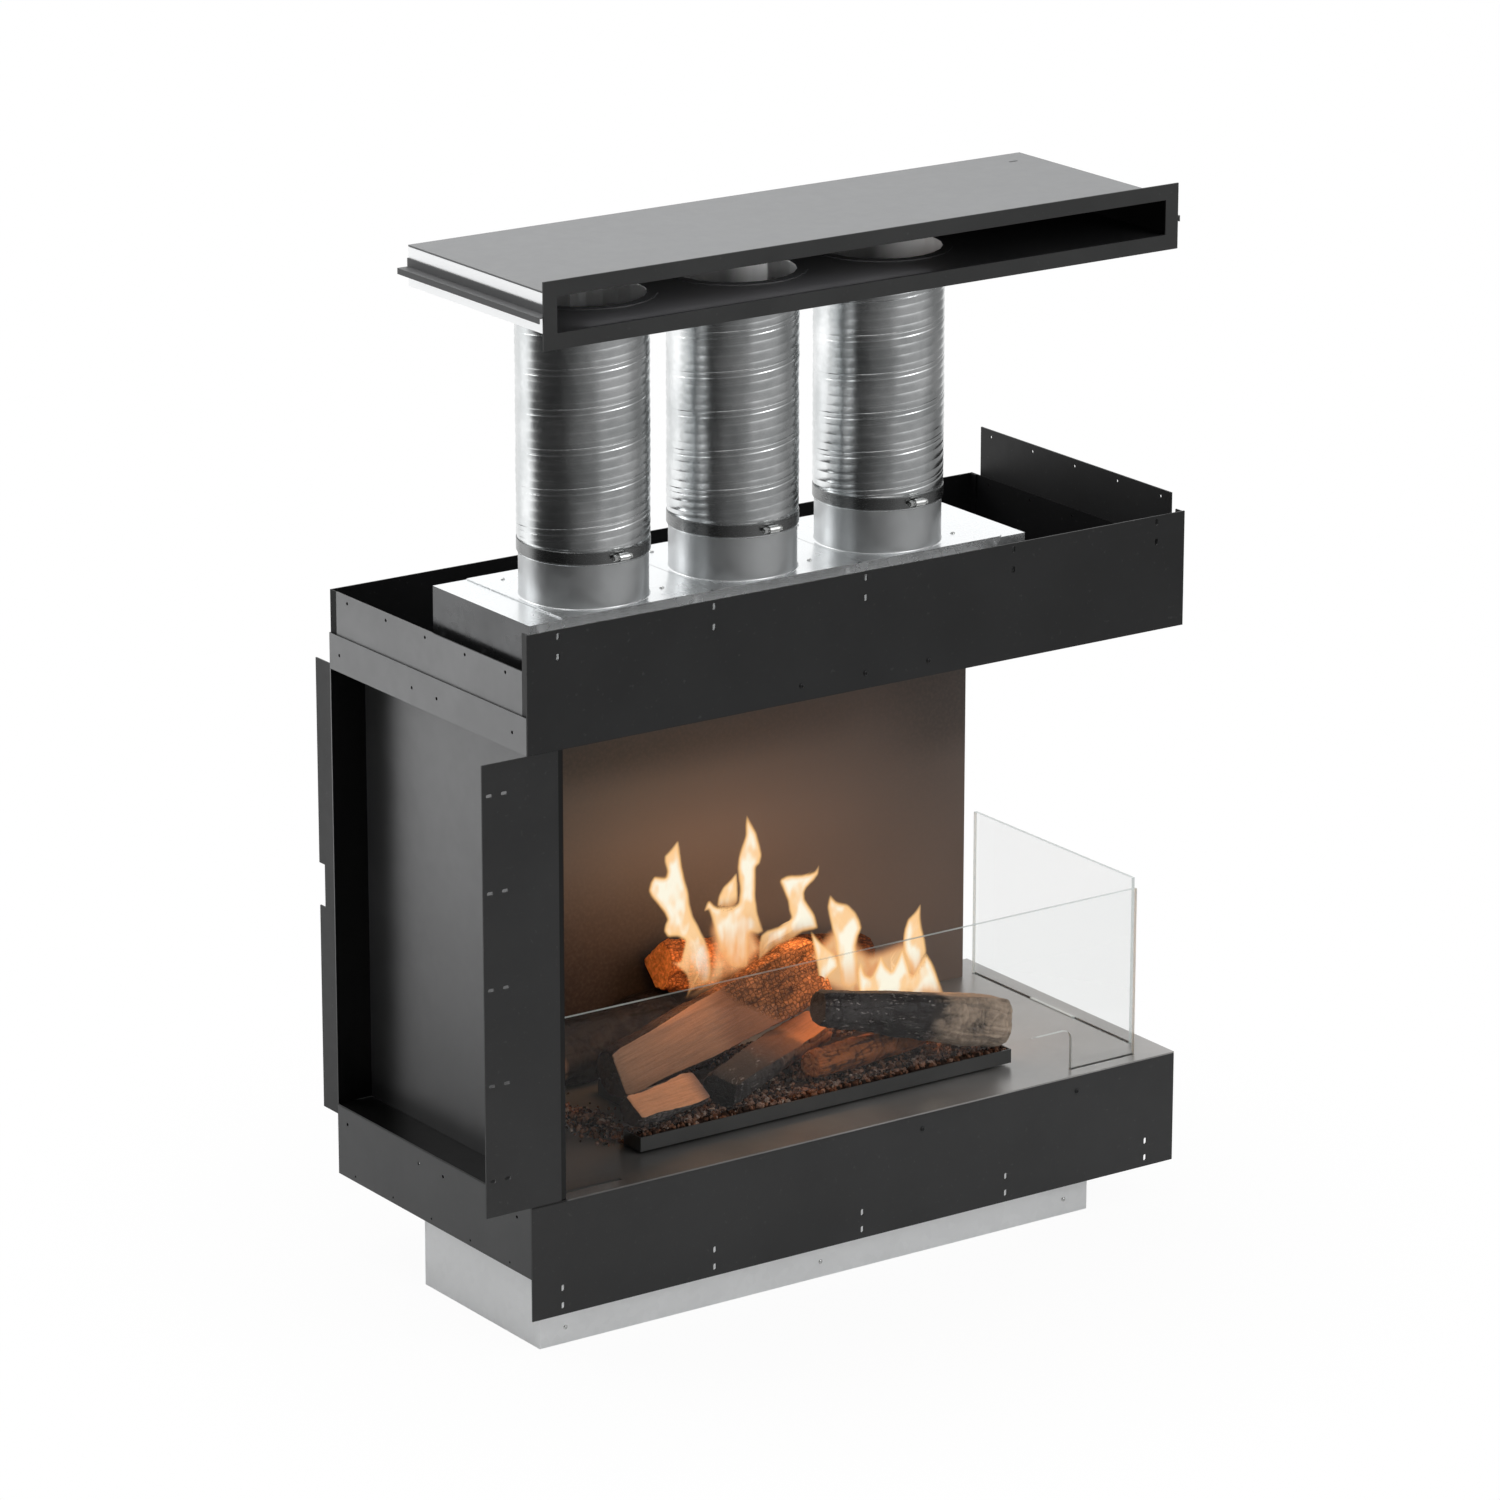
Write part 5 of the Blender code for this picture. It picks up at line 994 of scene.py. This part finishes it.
def make_embers(material):
    draw = np.random.default_rng(29)
    in_kerb = scattered(KERB_AREA, CHIPS_IN_KERB, draw)
    in_body = scattered(BODY_AREA, CHIPS_IN_BODY, draw)
    spots = np.vstack([in_kerb, in_body[~in_area(in_body, SLOT_CLEAR)]])
    sizes = draw.uniform(2.1, 5.2, len(spots)) * draw.uniform(0.8, 1.2, len(spots))
    spots[:, 0] = np.clip(spots[:, 0], KERB_AREA[0] + 4, KERB_AREA[1] - 4)
    spots[:, 1] = np.clip(spots[:, 1], KERB_AREA[2] + 4, BODY_AREA[3] - 4)
    level = ember_height(spots[:, 0], spots[:, 1]) + draw.uniform(-1.0, 1.6, len(spots))
    chips = chips_form(len(spots), np.column_stack([spots, level]), sizes, 31)
    (bed_form() + chips).piece("burnt_chips", material, "ember_chips", "ember_bed", smooth=False)


def make_loose_heap(material):
    """Broken bark and chips that lie on the hearth at the left of the kerb."""
    draw = np.random.default_rng(53)
    spots = spread(draw.normal(HEAP_X, 20, CHIPS_IN_HEAP), draw.normal(HEAP_Y, 48, CHIPS_IN_HEAP))
    spots = spots[in_area(spots, HEAP_AREA)]
    far = np.hypot((spots[:, 0] - HEAP_X) / 34, (spots[:, 1] - HEAP_Y) / 75)
    sizes = draw.uniform(2.2, 6.5, len(spots)) * np.clip(1.15 - far * 0.45, 0.5, 1.1)
    level = HEARTH_TOP + sizes * 0.62 + np.clip(1 - far, 0, 1) * draw.uniform(0, 9, len(spots))
    heap = chips_form(len(spots), np.column_stack([spots, level]), sizes, 57)
    heap.piece("loose_chips", material, "ember_chips", smooth=False)


# Flames. Their outlines stand upright on the burner's own plane, as (x, z) in casing millimetres.
FLAME_Y = 208.0
FLAME_OUTLINES = [
    [(360, 503), (363, 482), (365, 468), (371, 446), (376, 431), (378, 413), (383, 395), (391, 382),
     (402, 361), (410, 341), (412, 316), (408, 303), (395, 301), (380, 297), (371, 288), (376, 306),
     (371, 321), (360, 331), (345, 343), (363, 340), (367, 354), (370, 366), (359, 373), (343, 376),
     (337, 385), (339, 394), (343, 400), (338, 410), (328, 423), (318, 435), (314, 444), (317, 455),
     (323, 462), (340, 457), (342, 464), (338, 477), (338, 486), (347, 492)],
    [(465, 518), (473, 503), (480, 490), (485, 475), (489, 459), (486, 448), (480, 444), (480, 425),
     (480, 403), (483, 382), (488, 367), (492, 355), (483, 353), (470, 357), (469, 342), (468, 315),
     (462, 311), (439, 318), (426, 338), (419, 358), (415, 374), (410, 391), (406, 401), (399, 400),
     (404, 411), (408, 413), (417, 404), (431, 400), (446, 399), (452, 402), (455, 417), (453, 434),
     (451, 448), (452, 461), (456, 473), (463, 489), (463, 503)],
    [(418, 402), (421, 416), (428, 427), (440, 434), (450, 443), (451, 422), (452, 401), (439, 393)],
    [(579, 430), (578, 416), (570, 409), (559, 402), (555, 396), (556, 387), (565, 374), (573, 362),
     (578, 343), (565, 342), (551, 342), (534, 335), (513, 332), (496, 324), (483, 317), (484, 338),
     (487, 351), (496, 356), (513, 357), (530, 360), (535, 366), (531, 377), (529, 390), (522, 405),
     (516, 418), (519, 422), (529, 424), (550, 421), (564, 420), (572, 422)],
    [(596, 386), (608, 373), (625, 367), (637, 355), (644, 341), (647, 330), (641, 319), (638, 306),
     (641, 285), (642, 255), (627, 250), (613, 258), (610, 287), (607, 304), (605, 320), (599, 337),
     (594, 354), (591, 369), (593, 378)],
    [(564, 344), (580, 325), (597, 309), (608, 296), (610, 284), (597, 275), (585, 266), (578, 252),
     (578, 272), (576, 290), (573, 307), (569, 323)],
    [(741, 346), (741, 326), (744, 309), (748, 295), (751, 280), (749, 264), (737, 246), (727, 242),
     (721, 266), (714, 284), (713, 300), (715, 315), (720, 328), (731, 335)],
    [(642, 238), (639, 273), (645, 286), (653, 266), (662, 261), (671, 275), (677, 287), (687, 270),
     (695, 262), (702, 273), (712, 290), (721, 269), (727, 248), (737, 261), (750, 277), (761, 260),
     (770, 238), (778, 219), (784, 206), (761, 208), (718, 218), (675, 228)],
]
# The wider, dimmer fire behind the feet of the flames.
VEIL_OUTLINES = [
    [(368, 286), (390, 296), (410, 318), (416, 345), (410, 370), (420, 394), (440, 398), (470, 394),
     (486, 370), (492, 345), (502, 330), (482, 310), (455, 298), (420, 286), (390, 282)],
    [(560, 300), (580, 318), (598, 334), (620, 342), (642, 334), (650, 306), (668, 292), (700, 296),
     (724, 300), (748, 284), (768, 246), (786, 206), (700, 210), (640, 226), (600, 250), (576, 268)],
]
FLAME_STEP = 1.6


def rounded_outline(outline):
    """Corners cut twice at an eighth of each side, which rounds them and keeps the tips narrow."""
    points = np.array(outline, float)
    for _ in range(2):
        after = np.roll(points, -1, axis=0)
        points = np.stack([points * 0.87 + after * 0.13, points * 0.13 + after * 0.87], axis=1).reshape(-1, 2)
    return points


def flame_depth(spots, outline):
    """How far inside a closed outline each spot lies: the least distance to its sides, below zero
    for spots outside, which a ray to the right crosses an even number of sides from."""
    nearest = np.full(len(spots), 1e9)
    crossed = np.zeros(len(spots), int)
    for a, b in zip(outline, np.roll(outline, -1, axis=0)):
        side = b - a
        share = np.clip(((spots - a) @ side) / max(side @ side, 1e-9), 0, 1)
        nearest = np.minimum(nearest, np.linalg.norm(spots - a - share[:, None] * side, axis=1))
        if a[1] != b[1]:
            level = (spots[:, 1] - a[1]) / (b[1] - a[1])
            crossed += (level >= 0) & (level < 1) & (a[0] + level * side[0] > spots[:, 0])
    return np.where(crossed % 2 == 1, nearest, -nearest)


def flame_form(outline, turned, y=FLAME_Y):
    """A sheet of flame: a flat grid over the outline, kept where it lies inside, with each point's
    depth inside it and its height as a share. A turned sheet is lower, half as wide and goes back
    from the middle of each row of the first one."""
    outline = rounded_outline(outline)
    low, high = outline.min(0) - 2, outline.max(0) + 2
    columns, rows = (int(size / FLAME_STEP) + 2 for size in high - low)
    x, z = np.meshgrid(np.linspace(low[0], high[0], columns), np.linspace(low[1], high[1], rows))
    spots = np.column_stack([x.ravel(), z.ravel()])
    depth = flame_depth(spots, outline)
    faces = grid_faces(rows, columns)
    faces = faces[depth[faces].max(1) > 0]
    weight = np.clip(depth.reshape(rows, columns), 1e-6, None) ** 2
    thick = np.flatnonzero(weight.max(1) > 0.5)
    middle = np.interp(np.arange(rows), thick, ((x * weight).sum(1) / weight.sum(1))[thick])
    out = x - np.convolve(np.pad(middle, 8, mode="edge"), np.ones(17) / 17, "valid")[:, None]
    middle = x - out
    if turned:
        out = (out - out.ravel()[depth > 0].min()) * 0.55 + 1.0
        z = low[1] + (z - low[1]) * 0.86
    points = spread(middle + out * math.cos(turned), y + out * math.sin(turned), z).reshape(-1, 3)
    rise = (spots[:, 1] - low[1]) / (high[1] - low[1])
    kept, places = np.unique(faces, return_inverse=True)
    return Form(points[kept], [places.reshape(faces.shape)], flame_depth=depth[kept], flame_rise=rise[kept])


def flame_finish(name, inner, edge, foot, cover, soft):
    """Light only: its inner tone, the tone where it thins and the tone of its foot, in licks of noise
    stretched upwards. It covers what is behind it by a share that fades over its soft rim."""
    f = Finish(name)
    depth, rise = f.attribute("flame_depth"), f.attribute("flame_rise")
    lick = f.noise(40, 3, stretch=(1, 1, 0.4))
    streak = f.noise(48, 2, stretch=(1, 1, 0.30), shift=(3, 1, 2)).smooth(0.36, 0.72)
    depth = depth + (lick - 0.5) * 4.0
    low = 1 - rise.smooth(0.02, 0.45)
    warm = f.noise(28, 2, stretch=(1, 1, 0.6), shift=(1, 5, 3)).smooth(0.46, 0.60)
    core = f.mix(depth.smooth(0.5, soft + 5.5), edge, inner)
    core = f.mix(warm * 0.85, core, f.mix(0.12, edge, inner))
    core = f.mix((low * 0.70 + streak * (0.20 + low * 0.40)).smooth(0.12, 1.0), core, foot)
    share = depth.smooth(-1.2, soft) * (1 - low * 0.42) * (1 - streak * low * 0.40) * cover
    return f.surface(rgba(0.0), 1.0, Specular_IOR_Level=0.0, Emission_Color=core, Emission_Strength=1.0,
                     Alpha=share)


def make_flames():
    flame = flame_finish("flame_light", (1.0, 0.95, 0.78), (1.0, 0.55, 0.19), (0.96, 0.47, 0.18), 0.98, 4.2)
    veil = flame_finish("flame_veil", (1.0, 0.60, 0.29), (0.90, 0.36, 0.13), (0.80, 0.34, 0.13), 0.80, 16.0)
    across = math.pi / 2 - CAMERA_YAW
    for i, outline in enumerate(FLAME_OUTLINES, 1):
        sheets = flame_form(outline, 0.0) + flame_form(outline, across)
        sheets.piece(f"flame_{i:02d}", flame).visible_shadow = False
    for i, outline in enumerate(VEIL_OUTLINES, 1):
        flame_form(outline, 0.0, FLAME_Y + 8).piece(f"flame_veil_{i}", veil).visible_shadow = False


# Stage

FLOOR_MIDDLE = (468.4, 214.15, -48.6)


def make_stage():
    """A white floor disc that keeps the object's soft shadow. The camera, straight or through glass,
    sees it as white of strength 1, wholly so at its rim and nearly so under the object."""
    sides, radius = 96, 1200.0
    ring = upright(radius, turns(sides), 0.0)
    step = np.arange(sides)
    floor = Form(np.vstack([ring, (0, 0, 0)]) + FLOOR_MIDDLE, [spread(step, (step + 1) % sides, sides)])
    f = Finish("floor_white")
    x, y, _ = f.split(f.place)
    far = (x * x + y * y) ** 0.5
    seen = f.seen()
    tone = f.mix(f.noise(40, 3), (0.78, 0.78, 0.78), (0.82, 0.82, 0.82))
    matt = f.add("BsdfDiffuse", {}, {"Color": tone})
    white = f.add("Emission", {}, {"Color": rgba(1.0), "Strength": 1.0})
    share = seen * (0.95 + far.smooth(0.35, 1.1) * 0.05)
    f.add("OutputMaterial", {}, {0: f.add("MixShader", {}, {0: share, 1: matt, 2: white})})
    made = floor.piece("floor", f.material, smooth=False)
    made.parent = None
    del made["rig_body"]


# The studio round the object: turns in degrees from +X towards +Y and the strength of the cards there,
# where 1 is a white card. The low ring is what upright sheets mirror, the high one what lies above.
LOW_RING = [(0, 0.30), (20, 0.36), (32, 1.20), (100, 1.30), (114, 1.65), (130, 1.70), (139, 0.9), (146, 0.08),
            (160, 0.035), (200, 0.035), (216, 0.09), (236, 0.17), (258, 0.26), (272, 0.42), (318, 0.50),
            (332, 0.38), (346, 0.26), (360, 0.30)]
HIGH_RING = [(0, 0.36), (20, 0.40), (34, 1.60), (112, 1.60), (136, 0.9), (146, 0.08), (205, 0.06),
             (225, 0.24), (258, 0.40), (272, 1.30), (318, 1.35), (332, 0.50), (360, 0.36)]
STRONGEST_CARD = 1.7
SKY_STRENGTH = 0.78


def make_sky():
    """A sky of two rings of cards, one below the horizon and one above it, under a pale top. The
    camera, straight or through glass, sees it as plain white."""
    world = bpy.data.worlds.new("studio")
    bpy.context.scene.world = world
    w = Tree(world)
    dx, dy, dz = w.split(w.add("TexCoord", out=0))
    around = dy.math("ARCTAN2", dy, dx) / TURN
    around = around.math("FRACT", around + 1.0)
    low, high = (w.stops([(place / 360, strength / STRONGEST_CARD) for place, strength in ring], around)
                 for ring in (LOW_RING, HIGH_RING))
    cards = w.mix(dz.smooth(-0.02, 0.16), low, high)
    cards = w.mix(dz.smooth(0.66, 0.92), cards, 1.1 / STRONGEST_CARD)
    studio = w.add("Background", {}, {0: cards, 1: SKY_STRENGTH * STRONGEST_CARD})
    white = w.add("Background", {}, {0: rgba(1.0), 1: 1.0})
    w.add("OutputWorld", {}, {0: w.add("MixShader", {}, {0: w.seen(), 1: studio, 2: white})})


def lamp(name, kind, place, power, colour=(1, 1, 1), unseen=True, **settings):
    """A lamp of a kind with its settings. An unseen one shows in no glass or metal."""
    data = bpy.data.lights.new(name, kind)
    data.energy, data.color = power, colour
    for key, value in settings.items():
        setattr(data, key, value)
    made = bpy.data.objects.new(name, data)
    bpy.context.scene.collection.objects.link(made)
    made.location = place
    if unseen:
        made.visible_camera = made.visible_glossy = made.visible_transmission = False
    return made


def make_lamps():
    """Three softboxes that look at the object, flat lamps that look backwards from the gaps behind the
    fascias and from the outlet's slot, and the fire's own light. The last two kinds stand in casing
    millimetres."""
    for name, place, target, size, power in (("softbox_front", (1.6, -3.6, 2.9), (0, 0, 0.7), 1.5, 26),
                                             ("softbox_top", (-0.4, 0.2, 4.2), (0, 0, 0.7), 2.2, 40),
                                             ("softbox_left", (-2.6, 2.4, 2.6), (0, 0, 0.8), 1.7, 30)):
        made = lamp(name, "AREA", place, power, unseen=False, shape="SQUARE", size=size)
        made.rotation_euler = (Vector(target) - Vector(place)).to_track_quat("-Z", "Y").to_euler()
    for name, low, high, power in (("slot_lamp_low", (30, 3, 5), (805, 3, 95), 0.22),
                                   ("slot_lamp_high", (22, 3, 745), (700, 3, 875), 0.60),
                                   ("slot_lamp_outlet", (60, -50, 1266), (560, -50, 1304), 0.45)):
        low, high = casing(low), casing(high)
        made = lamp(name, "AREA", (low + high) / 2, power, shape="RECTANGLE", size=high[0] - low[0],
                    size_y=high[2] - low[2])
        made.rotation_euler = (math.pi / 2, 0, 0)
    for i, (place, power) in enumerate((((350, 200, 330), 0.60), ((470, 225, 375), 0.48),
                                        ((560, 220, 350), 0.36), ((640, 170, 290), 0.42),
                                        ((740, 190, 255), 0.34)), 1):
        lamp(f"fire_glow_{i}", "POINT", casing(place), power, (1.0, 0.50, 0.20), shadow_soft_size=0.03)


ZINC = (0.82, 0.84, 0.85)
# Painted sheet: tone, gloss, what else painted_sheet takes, and the nodes that have the finish.
PAINTS = (
    ("dark_painted_steel", (0.020, 0.0205, 0.021), 0.46, {"specular": 0.35},
     ("lower_back_strip", "upper_front_fascia", "lower_right_strip", "rear_left_flange")),
    # A lighter copy of the casing's black paint for the lower fascia and trim plate: painted floor light.
    ("lower_steel_painted_floor_light", (0.027, 0.0275, 0.028), 0.42, {"specular": 0.4},
     ("lower_front_fascia", "front_left_trim_plate")),
    # The casing's black paint with a pale tone on the faces that look to the left, a painted sheen of the
    # studio behind; the folds keep the black.
    ("left_steel_painted_sheen", (0.21, 0.212, 0.215), 0.34, {"metallic": 0.5, "folds": 0.02},
     ("upper_left_flange", "upper_left_strip")),
    # Painted sheen on the lower left face, dimmer than above, and painted shade on its folds, blacker than
    # the paint.
    ("low_left_steel_painted_sheen", (0.060, 0.061, 0.062), 0.36, {"metallic": 0.4, "folds": 0.008},
     ("lower_left_strip",)),
    # Painted sheen on the panel's left face that fades to painted shade towards the bottom, painted shade on
    # its folds, heat-proof paint on its inner faces.
    ("recess_steel_painted_sheen_and_shade", (0.21, 0.212, 0.215), 0.34,
     {"metallic": 0.5, "fades": [(2, 0.22, 0.86, 0.30)], "folds": 0.010, "inner": (0.060, 0.045, 0.036)},
     ("firebox_left_panel",)),
    # A darker copy of the casing paint on the faces inside the ring: painted shade.
    ("ring_painted_shade", (0.006, 0.006, 0.0065), 0.55, {"specular": 0.15},
     ("upper_back_strip", "upper_right_strip", "firebox_ceiling")),
    # A darker copy of the casing paint on the right flange: painted shade.
    ("flange_steel_painted_shade", (0.013, 0.013, 0.0135), 0.5, {"specular": 0.3}, ("upper_right_flange",)),
    # The black hearth plate painted grey as a painted sheen, darker towards the left and nearly black at its
    # far left edge in the recess, both painted shade.
    ("hearth_steel_painted_sheen_and_shade", (0.32, 0.313, 0.305), 0.33,
     {"specular": 0.7, "metallic": 0.5, "fades": [(0, -0.40, 0.25, 0.42), (0, -0.418, -0.414, 0.03)]},
     ("hearth_plate",)),
    ("outlet_top_grey", (0.200, 0.204, 0.208), 0.5, {"mottling": 0.05}, ("outlet_top_plate",)),
    ("outlet_frame_grey", (0.042, 0.043, 0.043), 0.5, {"specular": 0.35}, ("outlet_frame",)),
    # A grey darker than the zinc brackets: painted shade.
    ("bracket_painted_shade_grey", (0.13, 0.132, 0.134), 0.5, {"specular": 0.3},
     ("outlet_bracket_left", "outlet_bracket_right")),
    ("kerb_painted_steel", (0.052, 0.053, 0.052), 0.34, {}, ("ember_tray",)),
)

bpy.context.scene.view_settings.view_transform = "Standard"
make_camera()
make_stage()
make_sky()
make_lamps()

for name, colour, gloss, more, nodes in PAINTS:
    dress(painted_sheet(name, colour, gloss, **more), *nodes)
dress(firebox_wall("heatproof_paint"), "firebox_back_panel")
dress(outlet_sheet("outlet_sheet"), "outlet_box")
# The hood's left face carries a painted dark reflection.
dress(galvanised("hood_zinc", ZINC, 0.24, painted_shade_on_left=True), "convection_hood")
dress(galvanised("zinc_sheet", ZINC, 0.24), "housing_hanger_left", "housing_hanger_right",
      "glass_channel_front", "glass_channel_right")
dress(galvanised("housing_zinc", (0.86, 0.87, 0.875), 0.42, metallic=0.5), "burner_housing")
dress(bright_steel("burner_steel", (0.60, 0.59, 0.57), 0.30), "burner_tank", "burner_top_plate",
      "burner_shutter")
dress(ceramic_wool("tank_wool"), "burner_wool")
for pane in ("glass_front", "glass_right"):
    dress(clear_pane(pane), pane)

cover_steel = bright_steel("cover_steel", (0.80, 0.81, 0.80), 0.18)
# The collars' upright walls carry painted shade through the upright share.
make_air_path(foil("hose_foil"), galvanised("spigot_zinc", ZINC, 0.24, upright=0.72),
              bright_steel("band_steel", (0.26, 0.265, 0.265), 0.20), cover_steel)
make_screws(bpy.data.materials["dark_painted_steel"], cover_steel)
make_logs()
ember_stone = ember_finish("burnt_stone")
make_embers(ember_stone)
make_loose_heap(ember_stone)
make_flames()
